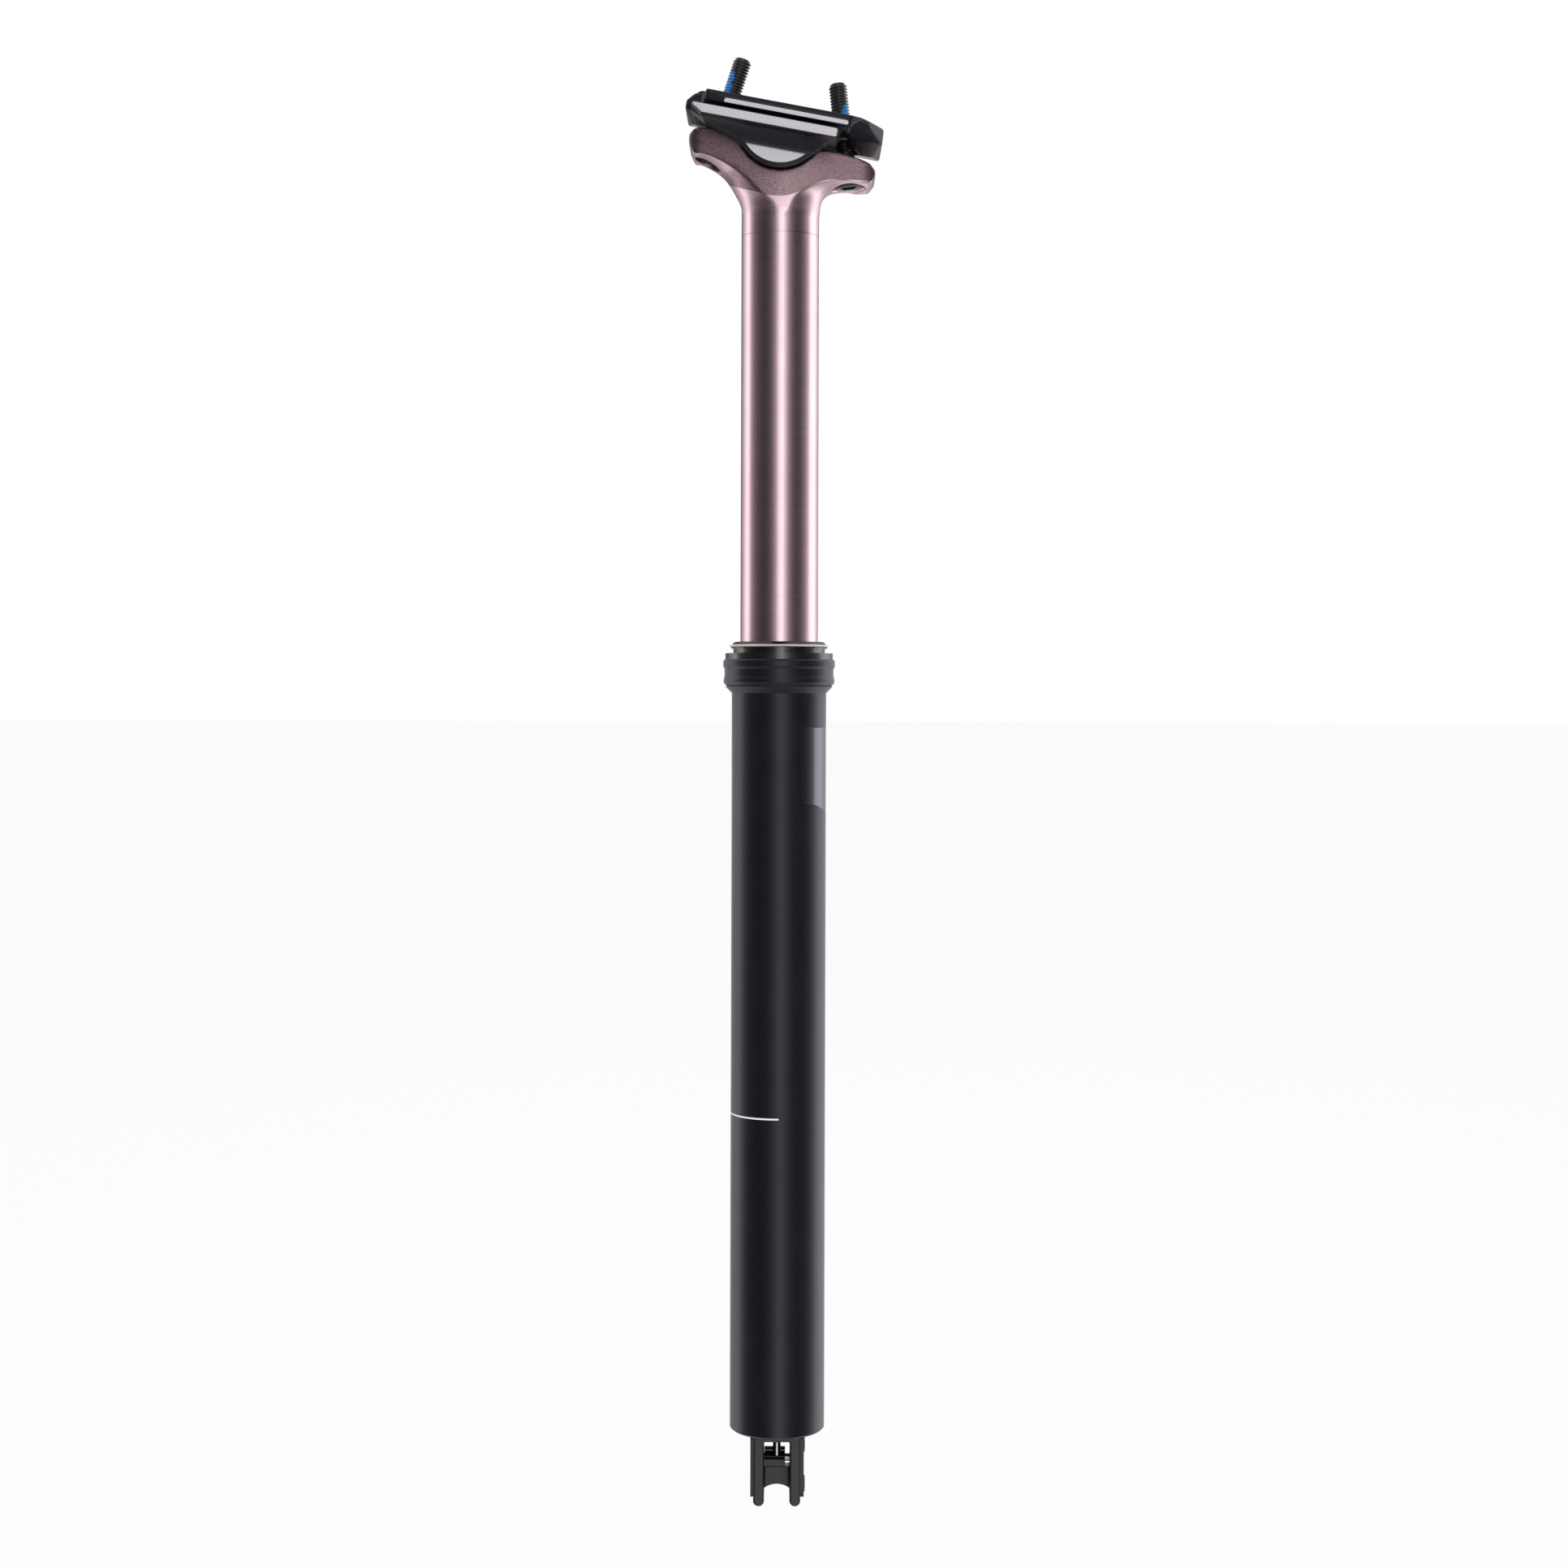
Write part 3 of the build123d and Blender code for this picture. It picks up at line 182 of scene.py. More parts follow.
class Recipe(NodeWork):
    """A node material under construction."""

    noise_low: float = 0.3
    noise_high: float = 0.7

    def __init__(self, name: str) -> None:
        """Starts an empty material.

        Args:
            name: the material's name.
        """
        self.material = bpy.data.materials.new(name)
        self.material.use_nodes = True
        super().__init__(self.material.node_tree)
        self.output = self.node("ShaderNodeOutputMaterial")
        self.shader = self.node("ShaderNodeBsdfPrincipled")
        self.feed(self.output.inputs["Surface"], self.shader.outputs["BSDF"])
        coordinates = self.node("ShaderNodeTexCoord")
        self.place = coordinates.outputs["Object"]
        self.normal = coordinates.outputs["Normal"]
        self._split: dict[str, Sequence[Socket]] = {}

    def axis(self, letter: str, source: str = "place") -> Socket:
        """One coordinate of the surface's place or of its normal.

        Args:
            letter: X, Y or Z.
            source: place or normal.

        Returns:
            The coordinate's socket.
        """
        if source not in self._split:
            made = self.node("ShaderNodeSeparateXYZ")
            self.feed(made.inputs[0], getattr(self, source))
            self._split[source] = made.outputs
        return self._split[source]["XYZ".index(letter)]

    def along(self, direction: Vector, origin: Vector) -> Socket:
        """The distance of the surface's place from an origin, along a direction.

        Args:
            direction: a unit vector.
            origin: where the distance is zero.

        Returns:
            The distance's socket, in metres.
        """
        made = self.node("ShaderNodeVectorMath", operation="DOT_PRODUCT")
        self.feed(made.inputs[0], self.place)
        made.inputs[1].default_value = direction
        return self.math("SUBTRACT", made.outputs["Value"], direction.dot(origin))

    def step(self, value: Socket, low: float, high: float) -> Socket:
        """A smooth step from 0 to 1 as a value goes from low to high; it falls where low is larger.

        Args:
            value: the value.
            low: where the step is 0.
            high: where the step is 1.

        Returns:
            The step's socket.
        """
        rising = low < high
        return self.ranged(value, min(low, high), max(low, high), float(not rising), float(rising),
                           "SMOOTHSTEP")

    def between(self, value: Socket, low: float, high: float, soft: float) -> Socket:
        """1 where a value lies between two limits, with soft edges.

        Args:
            value: the value.
            low: the lower limit.
            high: the upper limit.
            soft: the width of each edge.

        Returns:
            The mask's socket.
        """
        return self.all_of(self.step(value, low - soft, low), self.step(value, high + soft, high))

    def all_of(self, *masks: Socket | float) -> Socket:
        """The product of several masks.

        Args:
            masks: the masks, 0 to 1.

        Returns:
            The product's socket.
        """
        result = masks[0]
        for mask in masks[1:]:
            result = self.math("MULTIPLY", result, mask)
        return result

    def noise(self, scale: float, detail: float = 3.0, stretch: Colour = (1.0, 1.0, 1.0),
              roughness: float = 0.55) -> Socket:
        """Noise on the surface's place.

        Args:
            scale: features per metre.
            detail: octaves.
            stretch: how many times finer it is along each axis.
            roughness: how strong the fine octaves are.

        Returns:
            The noise's socket, about 0 to 1.
        """
        mapping = self.node("ShaderNodeMapping")
        self.feed(mapping.inputs["Vector"], self.place)
        mapping.inputs["Scale"].default_value = stretch
        made = self.node("ShaderNodeTexNoise")
        self.feed(made.inputs["Vector"], mapping.outputs["Vector"])
        made.inputs["Scale"].default_value = scale
        made.inputs["Detail"].default_value = detail
        made.inputs["Roughness"].default_value = roughness
        return made.outputs["Fac"]

    def spread(self, value: Socket, low: float, high: float) -> Socket:
        """Maps the middle of a noise to a range.

        Args:
            value: the noise.
            low: the result in its darker parts.
            high: the result in its lighter parts.

        Returns:
            The mapped socket.
        """
        return self.ranged(value, self.noise_low, self.noise_high, low, high)

    def mixed(self, kind: MixKind, factor: Socket, first: Socket | float | Colour,
              second: Socket | float | Colour) -> Socket:
        """One mix node.

        Args:
            kind: whether it mixes colours or numbers.
            factor: 0 gives the first, 1 the second.
            first: the first colour or number.
            second: the second colour or number.

        Returns:
            The mixed socket.
        """
        data_type, first_slot, second_slot, result_slot = kind.value
        made = self.node("ShaderNodeMix", data_type=data_type)
        self.feed(made.inputs["Factor"], factor)
        self.feed(made.inputs[first_slot], first)
        self.feed(made.inputs[second_slot], second)
        return made.outputs[result_slot]

    def mix(self, factor: Socket, first: Socket | Colour, second: Socket | Colour) -> Socket:
        """Mixes two colours: a factor of 0 gives the first, 1 the second."""
        return self.mixed(MixKind.COLOUR, factor, first, second)

    def blend(self, factor: Socket, first: Socket | float, second: Socket | float) -> Socket:
        """Mixes two numbers: a factor of 0 gives the first, 1 the second."""
        return self.mixed(MixKind.NUMBER, factor, first, second)

    def bump(self, height: Socket, distance: float, strength: float = 1.0) -> None:
        """Adds a bump on top of any earlier one.

        Args:
            height: the height, 0 to 1.
            distance: the height of 1, in metres.
            strength: how much of it shows.
        """
        made = self.node("ShaderNodeBump")
        made.inputs["Distance"].default_value = distance
        made.inputs["Strength"].default_value = strength
        self.feed(made.inputs["Height"], height)
        before = self.shader.inputs["Normal"].links
        if before:
            self.feed(made.inputs["Normal"], before[0].from_socket)
        self.feed(self.shader.inputs["Normal"], made.outputs["Normal"])

    def shade(self, colour: Socket | Colour, metallic: Socket | float, roughness: Socket | float,
              **more: float | Colour) -> bpy.types.Material:
        """Sets the shader's main inputs.

        Args:
            colour: the base colour.
            metallic: 0 to 1.
            roughness: 0 to 1.
            more: further constant sockets, by name with spaces as underscores.

        Returns:
            The finished material.
        """
        self.feed(self.shader.inputs["Base Color"], colour)
        self.feed(self.shader.inputs["Metallic"], metallic)
        self.feed(self.shader.inputs["Roughness"], roughness)
        for key, value in more.items():
            self.feed(self.shader.inputs[key.replace("_", " ")], value)
        return self.material


@dataclass(frozen=True)
class Lean:
    """A leaning side-view frame: one axis along the lean's flat, one up it."""

    origin: Vector
    degrees: float

    @property
    def flat(self) -> Vector:
        """The direction along the rails, to the rear."""
        turn = math.radians(self.degrees)
        return Vector((math.cos(turn), 0.0, -math.sin(turn)))

    @property
    def up(self) -> Vector:
        """The direction square to the rails, upwards."""
        turn = math.radians(self.degrees)
        return Vector((math.sin(turn), 0.0, math.cos(turn)))


# The rails' centre in the side view, with the rails' slope: the clamp turns about it.
ROCKER = Lean(Vector((0.0, 0.0, 183.2 * MM)), 10.4)


@dataclass(frozen=True)
class PlainFinish:
    """A metal, plastic or rubber with a fine grain and slight wear in its colour."""

    name: str
    colour: Colour
    metallic: float
    roughness: float
    grain: float = 2600.0
    depth: float = 0.004 * MM
    stretch: Colour = (1.0, 1.0, 1.0)
    variation: float = 0.12
    rub: float = 0.12
    specular: float = 0.5
    cloud: float = 180.0

    def build(self) -> bpy.types.Material:
        """Makes the material."""
        recipe = Recipe(self.name)
        cloudy = recipe.noise(self.cloud, detail=4.0)
        fine = recipe.noise(self.grain, detail=2.0, stretch=self.stretch)
        darker = tone(self.colour, 1.0 - self.variation)
        lighter = tone(self.colour, 1.0 + self.variation)
        colour = recipe.mix(recipe.spread(cloudy, 0.0, 1.0), darker, lighter)
        smooth, dull = self.roughness * (1.0 - self.rub), min(self.roughness * (1.0 + self.rub), 1.0)
        recipe.bump(fine, self.depth)
        return recipe.shade(colour, self.metallic, recipe.spread(fine, smooth, dull),
                            Specular_IOR_Level=self.specular)


@dataclass(frozen=True)
class PostFinish:
    """Matte black anodising on the outer tube and its collar, with two bare glossy patches and a line.

    The patches and the line lie between two angles about the tube, in degrees as bearing gives them.
    """

    name: str = "black_post"
    colour: Colour = (0.0044, 0.0042, 0.0070)
    darkest: float = 0.85
    lightest: float = 1.2
    tint: Colour = (0.88, 0.87, 1.0)
    sheen_tint: Colour = (0.86, 0.84, 1.0)
    roughness: float = 0.34
    smoothest: float = 0.9
    roughest: float = 1.12
    gloss_colour: Colour = (0.14, 0.14, 0.155)
    gloss_roughness: float = 0.04
    line_colour: Colour = (0.82, 0.82, 0.84)
    line_roughness: float = 0.55
    patch_top: float = -11.2 * MM
    patch_bottom: float = -35.3 * MM
    patch_slant: float = 3.4 * MM
    patch_start: float = 32.0
    patch_end: float = 148.0
    slant_end: float = 90.0
    strip_top: float = -23.9 * MM
    strip_bottom: float = -129.0 * MM
    strip_start: float = -107.0
    strip_end: float = -72.7
    line_height: float = -137.0 * MM
    line_width: float = 0.5 * MM
    line_end: float = 2.0
    edge: float = 0.06 * MM
    line_edge: float = 0.04 * MM
    turn_edge: float = 0.25
    grain: float = 5200.0
    grain_depth: float = 0.006 * MM
    cloud: float = 90.0
    film_depth: float = 0.03 * MM

    def build(self) -> bpy.types.Material:
        """Makes the material."""
        recipe = Recipe(self.name)
        height = recipe.axis("Z")
        degrees = recipe.bearing(recipe.axis("X"), recipe.axis("Y"))
        gloss = recipe.math("MAXIMUM", self.patch(recipe, height, degrees),
                            self.strip(recipe, height, degrees))
        line = self.line(recipe, height, degrees)
        grain = recipe.noise(self.grain, detail=2.0, roughness=0.7)
        cloudy = recipe.noise(self.cloud, detail=4.0)
        dark, light = tone(self.colour, self.darkest), tone(self.colour, self.lightest)
        base = recipe.mix(recipe.spread(cloudy, 0.0, 1.0), dark, light)
        base = recipe.mix(gloss, base, self.gloss_colour)
        base = recipe.mix(line, base, self.line_colour)
        rough = recipe.spread(grain, self.roughness * self.smoothest, self.roughness * self.roughest)
        rough = recipe.blend(gloss, rough, self.gloss_roughness)
        rough = recipe.blend(line, rough, self.line_roughness)
        recipe.bump(recipe.blend(gloss, grain, 0.5), self.grain_depth)
        recipe.bump(recipe.math("MAXIMUM", gloss, line), self.film_depth)
        return recipe.shade(base, gloss, rough, Specular_IOR_Level=0.46, Specular_Tint=self.tint,
                            Sheen_Weight=0.6, Sheen_Roughness=0.32, Sheen_Tint=self.sheen_tint)

    def patch(self, recipe: Recipe, height: Socket, degrees: Socket) -> Socket:
        """The patch under the collar at the rear, whose foot slants.

        Args:
            recipe: the material under construction.
            height: the height on the tube.
            degrees: the angle about it.

        Returns:
            Its mask.
        """
        slant = recipe.math("MULTIPLY", recipe.step(degrees, self.patch_start, self.slant_end),
                            self.patch_slant)
        lowered = recipe.math("ADD", height, slant)
        return recipe.all_of(
            recipe.between(degrees, self.patch_start, self.patch_end, self.turn_edge),
            recipe.step(lowered, self.patch_bottom - self.edge, self.patch_bottom),
            recipe.step(height, self.patch_top + self.edge, self.patch_top),
        )

    def strip(self, recipe: Recipe, height: Socket, degrees: Socket) -> Socket:
        """The long patch at the front.

        Args:
            recipe: the material under construction.
            height: the height on the tube.
            degrees: the angle about it.

        Returns:
            Its mask.
        """
        return recipe.all_of(
            recipe.between(degrees, self.strip_start, self.strip_end, self.turn_edge),
            recipe.between(height, self.strip_bottom, self.strip_top, self.edge),
        )

    def line(self, recipe: Recipe, height: Socket, degrees: Socket) -> Socket:
        """The thin line round the front half.

        Args:
            recipe: the material under construction.
            height: the height on the tube.
            degrees: the angle about it.

        Returns:
            Its mask.
        """
        half = self.line_width / 2
        return recipe.all_of(
            recipe.between(height, self.line_height - half, self.line_height + half, self.line_edge),
            recipe.step(degrees, self.line_end, 0.0),
        )


@dataclass(frozen=True)
class StanchionFinish:
    """A bright tube under a forged head: turned undersides and blasted sides.

    The blasted sides end at a line that rises from the middle of the head towards both wings.
    """

    name: str = "polished_stanchion"
    colour: Colour = (0.75, 0.535, 0.59)
    darkest: float = 0.93
    blasted_colour: Colour = (0.50, 0.34, 0.375)
    blasted_darkest: float = 0.22
    middle_height: float = 160.4 * MM
    front_rise: float = 15.6 * MM
    front_curve: float = 1.9
    rear_rise: float = 5.6 * MM
    rear_bend: Pair = (0.5 * MM, 16.5 * MM)
    reach: float = 29.0 * MM
    edge: float = 0.12 * MM
    edge_depth: float = 0.05 * MM
    upright: Pair = (0.75, 0.6)
    head_start: Pair = (155.0 * MM, 158.0 * MM)
    tube_roughness: Pair = (0.2, 0.25)
    head_roughness: Pair = (0.28, 0.36)
    blasted_roughness: Pair = (0.3, 0.42)
    grain: float = 1700.0
    grain_depth: float = 0.04 * MM
    lathe: float = 2600.0
    lathe_stretch: Colour = (0.02, 0.02, 1.0)
    cloud: float = 60.0
    relief: float = 0.6

    def build(self) -> bpy.types.Material:
        """Makes the material."""
        recipe = Recipe(self.name)
        height = recipe.axis("Z")
        upright = recipe.step(recipe.math("ABSOLUTE", recipe.axis("Z", "normal")), *self.upright)
        over = recipe.math("SUBTRACT", recipe.math("SUBTRACT", height, self.rise(recipe)),
                           self.middle_height)
        blasted = recipe.math("MULTIPLY", recipe.step(over, -self.edge, self.edge), upright)
        in_head = recipe.step(height, *self.head_start)
        grain = recipe.noise(self.grain, detail=4.0, roughness=0.9)
        lathe = recipe.noise(self.lathe, detail=1.0, stretch=self.lathe_stretch)
        cloudy = recipe.noise(self.cloud, detail=3.0)
        base = recipe.mix(recipe.spread(cloudy, 0.0, 1.0), tone(self.colour, self.darkest), self.colour)
        dark = tone(self.blasted_colour, self.blasted_darkest)
        speckled = recipe.mix(recipe.spread(grain, 0.0, 1.0), dark, self.blasted_colour)
        base = recipe.mix(blasted, base, speckled)
        rough = recipe.blend(in_head, recipe.spread(lathe, *self.tube_roughness),
                             recipe.spread(lathe, *self.head_roughness))
        rough = recipe.blend(blasted, rough, recipe.spread(grain, *self.blasted_roughness))
        recipe.bump(recipe.math("MULTIPLY", grain, blasted), self.grain_depth, self.relief)
        recipe.bump(blasted, self.edge_depth, self.relief)
        return recipe.shade(base, 1.0, rough)

    def rise(self, recipe: Recipe) -> Socket:
        """How far the blasted sides' lower edge lies above its lowest place.

        Args:
            recipe: the material under construction.

        Returns:
            The rise's socket, in metres.
        """
        across = recipe.axis("X")
        ahead = recipe.math("MAXIMUM", recipe.math("MULTIPLY", across, -1.0 / self.reach), 0.0)
        front = recipe.math("POWER", ahead, self.front_curve)
        rear = recipe.step(across, *self.rear_bend)
        return recipe.math("ADD", recipe.math("MULTIPLY", front, self.front_rise),
                           recipe.math("MULTIPLY", rear, self.rear_rise))


@dataclass(frozen=True)
class ClampFinish:
    """Black anodising, with flats that were machined bright after it.

    Every place is measured from the rails' centre, along the rails or square to them.
    """

    name: str
    colour: Colour = (0.006, 0.0062, 0.009)
    lightest: float = 1.35
    tint: Colour = (0.9, 0.9, 1.0)
    roughness: Pair = (0.24, 0.32)
    bright: Colour = (0.80, 0.79, 0.83)
    bright_darkest: float = 0.78
    bright_roughness: Pair = (0.42, 0.55)
    strip: tuple[float, float, float, float] = (-28.2 * MM, 18.7 * MM, -3.7 * MM, -1.0 * MM)
    corner: float = 0.7 * MM
    corner_edge: Pair = (0.05 * MM, -0.02 * MM)
    side: float = 26.2 * MM
    side_edge: float = 0.2 * MM
    facing: Pair = (0.8, 0.93)
    belly: bool = True
    belly_radius: float = 13.1 * MM
    belly_edge: float = 0.08 * MM
    belly_top: Pair = (-8.6 * MM, -9.5 * MM)
    mottle: float = 2400.0
    grain: float = 4600.0
    grain_depth: float = 0.006 * MM
    cloud: float = 140.0

    def build(self) -> bpy.types.Material:
        """Makes the material."""
        recipe = Recipe(self.name)
        flats = self.flats(recipe)
        mottle = recipe.noise(self.mottle, detail=4.0, roughness=0.7)
        grain = recipe.noise(self.grain, detail=3.0, roughness=0.7)
        cloudy = recipe.noise(self.cloud, detail=3.0)
        base = recipe.mix(recipe.spread(cloudy, 0.0, 1.0), self.colour, tone(self.colour, self.lightest))
        dull = tone(self.bright, self.bright_darkest)
        silver = recipe.mix(recipe.spread(mottle, 0.0, 1.0), dull, self.bright)
        base = recipe.mix(flats, base, silver)
        rough = recipe.blend(flats, recipe.spread(grain, *self.roughness),
                             recipe.spread(mottle, *self.bright_roughness))
        recipe.bump(recipe.blend(flats, grain, mottle), self.grain_depth)
        return recipe.shade(base, flats, rough, Specular_IOR_Level=0.32, Specular_Tint=self.tint)

    def flats(self, recipe: Recipe) -> Socket:
        """The machined flats: a strip along the rail and, on the cradle, the half-round belly.

        Args:
            recipe: the material under construction.

        Returns:
            Their mask.
        """
        along = recipe.along(ROCKER.flat, ROCKER.origin)
        above = recipe.along(ROCKER.up, ROCKER.origin)
        facing = recipe.step(recipe.math("ABSOLUTE", recipe.axis("Y", "normal")), *self.facing)
        outside = recipe.step(recipe.math("ABSOLUTE", recipe.axis("Y")), self.side - self.side_edge,
                              self.side)
        strip = recipe.all_of(self.panel(recipe, along, above), facing, outside)
        if not self.belly:
            return strip
        inside = recipe.step(self.distance(recipe, along, above), self.belly_radius + self.belly_edge,
                             self.belly_radius)
        belly = recipe.all_of(recipe.step(above, *self.belly_top), inside, facing)
        return recipe.math("MAXIMUM", strip, belly)

    @staticmethod
    def distance(recipe: Recipe, along: Socket, above: Socket) -> Socket:
        """The length of the line with two given sides, as sockets."""
        squares = [recipe.math("MULTIPLY", side, side) for side in (along, above)]
        return recipe.math("SQRT", recipe.math("ADD", *squares))

    def panel(self, recipe: Recipe, along: Socket, above: Socket) -> Socket:
        """A rounded rectangle of the side view.

        Args:
            recipe: the material under construction.
            along: the distance along the rails.
            above: the distance up from the rails.

        Returns:
            Its mask.
        """
        start, end, low, high = self.strip
        gaps = []
        for value, least, most in ((along, start, end), (above, low, high)):
            middle, half = (least + most) / 2, (most - least) / 2
            off = recipe.math("ABSOLUTE", recipe.math("SUBTRACT", value, middle))
            gaps.append(recipe.math("MAXIMUM", recipe.math("SUBTRACT", off, half - self.corner), 0.0))
        outer, inner = self.corner_edge
        return recipe.step(self.distance(recipe, *gaps), self.corner + outer, self.corner + inner)


@dataclass(frozen=True)
class ScrewFinish:
    """Black oxide steel with a blue thread-locking patch on one side of the thread."""

    name: str
    lean: Lean
    patch_start: float
    patch_end: float
    patch_side: float
    colour: Colour = (0.055, 0.052, 0.055)
    metallic: float = 0.6
    roughness: Pair = (0.2, 0.3)
    blue: Colour = (0.006, 0.19, 0.55)
    blue_roughness: float = 0.45
    patch_edge: float = 0.3 * MM
    side_edge: Pair = (0.4 * MM, 0.9 * MM)
    ragged: float = 0.7 * MM
    blots: float = 700.0
    grain: float = 3600.0
    grain_depth: float = 0.004 * MM

    def build(self) -> bpy.types.Material:
        """Makes the material."""
        recipe = Recipe(self.name)
        height = recipe.along(self.lean.up, self.lean.origin)
        out = recipe.math("MULTIPLY", recipe.along(self.lean.flat, self.lean.origin), self.patch_side)
        ragged = recipe.spread(recipe.noise(self.blots, detail=3.0), -self.ragged, self.ragged)
        height, out = recipe.math("ADD", height, ragged), recipe.math("ADD", out, ragged)
        patch = recipe.all_of(
            recipe.between(height, self.patch_start, self.patch_end, self.patch_edge),
            recipe.step(out, *self.side_edge),
        )
        grain = recipe.noise(self.grain, detail=3.0)
        base = recipe.mix(patch, self.colour, self.blue)
        rough = recipe.blend(patch, recipe.spread(grain, *self.roughness), self.blue_roughness)
        recipe.bump(grain, self.grain_depth)
        return recipe.shade(base, recipe.blend(patch, self.metallic, 0.0), rough)


@dataclass(frozen=True)
class Studio:
    """The camera, the lamps, the floor and the surroundings.

    The levels are the softboxes and the gaps between them: how bright the surroundings are in
    reflections, by the angle about the upright axis. A lamp has a name, a place, a size and a power.
    """

    distance: float = 829.0 * MM
    camera_x: float = 1.65 * MM
    camera_z: float = -0.2 * MM
    roll: float = -0.165
    lens: float = 58.15
    sensor: float = 36.0
    shift: float = -0.0575
    clip: Pair = (0.01, 200.0)
    floor_height: float = -340.0 * MM
    floor_size: float = 60.0
    floor_colour: Colour = (0.8, 0.8, 0.8)
    floor_glow: float = 0.9
    brightest: float = 2.2
    levels: tuple[Pair, ...] = (
        (-180.0, 0.95), (-169.0, 0.35), (-156.0, 0.20), (-138.0, 0.50), (-122.0, 1.20), (-106.0, 1.90),
        (-97.0, 0.65), (-86.0, 0.24), (-70.0, 0.10), (-50.0, 0.05), (-34.0, 0.06), (-21.0, 0.15),
        (-10.0, 0.42), (-1.0, 1.50), (8.0, 2.10), (16.0, 0.90), (27.0, 0.28), (40.0, 0.10), (54.0, 0.06),
        (68.0, 0.11), (84.0, 0.32), (94.0, 0.70), (103.0, 1.80), (122.0, 2.00), (138.0, 1.10),
        (155.0, 0.45), (169.0, 0.45), (180.0, 0.95),
    )
    ring_end: Pair = (0.45, 0.95)
    overhead: float = 0.5
    overhead_end: Pair = (0.05, 0.65)
    below: float = 0.5
    below_end: Pair = (0.1, 0.65)
    even_light: float = 0.75
    lamp_places: tuple[tuple[str, Colour, float, float], ...] = (
        ("key", (-0.7, -1.3, 1.1), 1.0, 9.0),
        ("fill", (1.0, -1.2, 0.3), 1.2, 5.0),
        ("back", (0.2, 1.3, 1.2), 1.2, 6.0),
    )

    def build(self) -> None:
        """Makes the whole studio."""
        self.camera()
        self.floor()
        self.world()
        self.lamps()

    def camera(self) -> None:
        """The camera at the photograph's place."""
        data = bpy.data.cameras.new("camera")
        data.lens = self.lens
        data.sensor_width = self.sensor
        data.shift_y = self.shift
        data.clip_start, data.clip_end = self.clip
        camera = bpy.data.objects.new("camera", data)
        camera.location = (self.camera_x, -self.distance, self.camera_z)
        camera.rotation_euler = (math.pi / 2, math.radians(self.roll), 0.0)
        bpy.context.scene.collection.objects.link(camera)
        bpy.context.scene.camera = camera

    def floor(self) -> None:
        """A wide pale floor that stays white and keeps a faint shadow."""
        shape = bmesh.new()
        bmesh.ops.create_grid(shape, x_segments=1, y_segments=1, size=self.floor_size / 2)
        bmesh.ops.translate(shape, verts=shape.verts, vec=(0.0, 0.0, self.floor_height))
        mesh = bpy.data.meshes.new("floor")
        shape.to_mesh(mesh)
        shape.free()
        floor = bpy.data.objects.new("floor", mesh)
        bpy.context.scene.collection.objects.link(floor)
        floor.visible_glossy = False
        recipe = Recipe("floor_white")
        recipe.shade(self.floor_colour, 0.0, 0.9)
        glow = recipe.node("ShaderNodeEmission")
        path = recipe.node("ShaderNodeLightPath")
        share = recipe.math("MULTIPLY", path.outputs["Is Camera Ray"], self.floor_glow)
        mixed = recipe.node("ShaderNodeMixShader")
        recipe.feed(mixed.inputs[0], share)
        recipe.feed(mixed.inputs[1], recipe.shader.outputs["BSDF"])
        recipe.feed(mixed.inputs[2], glow.outputs["Emission"])
        recipe.feed(recipe.output.inputs["Surface"], mixed.outputs["Shader"])
        mesh.materials.append(recipe.material)

    def world(self) -> None:
        """White behind the object, softboxes in its reflections, even light on it."""
        world = bpy.data.worlds.new("studio")
        bpy.context.scene.world = world
        world.use_nodes = True
        sky = NodeWork(world.node_tree)
        split = sky.node("ShaderNodeSeparateXYZ")
        sky.feed(split.inputs[0], sky.node("ShaderNodeTexCoord").outputs["Generated"])
        across, away, height = split.outputs
        level = sky.math("MULTIPLY", self.ring(sky, sky.bearing(across, away)),
                         self.fall(sky, sky.math("ABSOLUTE", height), self.ring_end, 1.0))
        overhead = self.fall(sky, sky.math("SUBTRACT", 1.0, height), self.overhead_end, self.overhead)
        below = self.fall(sky, sky.math("ADD", 1.0, height), self.below_end, self.below)
        level = sky.math("ADD", level, sky.math("ADD", overhead, below))
        path = sky.node("ShaderNodeLightPath")
        mirror = sky.math("MAXIMUM", path.outputs["Is Glossy Ray"], path.outputs["Is Transmission Ray"])
        level = sky.math("MULTIPLY", level, mirror)
        plain = sky.math("MULTIPLY", path.outputs["Is Diffuse Ray"], self.even_light)
        background = sky.node("ShaderNodeBackground")
        sky.feed(background.inputs["Color"], (1.0, 1.0, 1.0))
        sky.feed(background.inputs["Strength"],
                 sky.math("ADD", sky.math("ADD", level, plain), path.outputs["Is Camera Ray"]))
        sky.feed(sky.node("ShaderNodeOutputWorld").inputs["Surface"], background.outputs["Background"])

    def ring(self, sky: NodeWork, degrees: Socket) -> Socket:
        """The level of the surroundings at an angle.

        Args:
            sky: the world's node tree.
            degrees: the angle about the upright axis.

        Returns:
            The level's socket.
        """
        made = sky.node("ShaderNodeValToRGB")
        ramp = made.color_ramp
        places = [(angle / 360.0 + 0.5, amount / self.brightest) for angle, amount in self.levels]
        ramp.elements[0].position, ramp.elements[1].position = places[0][0], places[-1][0]
        for place, _ in places[1:-1]:
            ramp.elements.new(place)
        for element, (_, amount) in zip(ramp.elements, places):
            element.color = (amount, amount, amount, 1.0)
        sky.feed(made.inputs["Fac"], sky.math("ADD", sky.math("DIVIDE", degrees, 360.0), 0.5))
        return sky.math("MULTIPLY", made.outputs["Color"], self.brightest)

    @staticmethod
    def fall(sky: NodeWork, value: Socket, limits: Pair, level: float) -> Socket:
        """A level that falls smoothly to nothing between two limits of a value."""
        return sky.ranged(value, *limits, level, 0.0, "SMOOTHERSTEP")

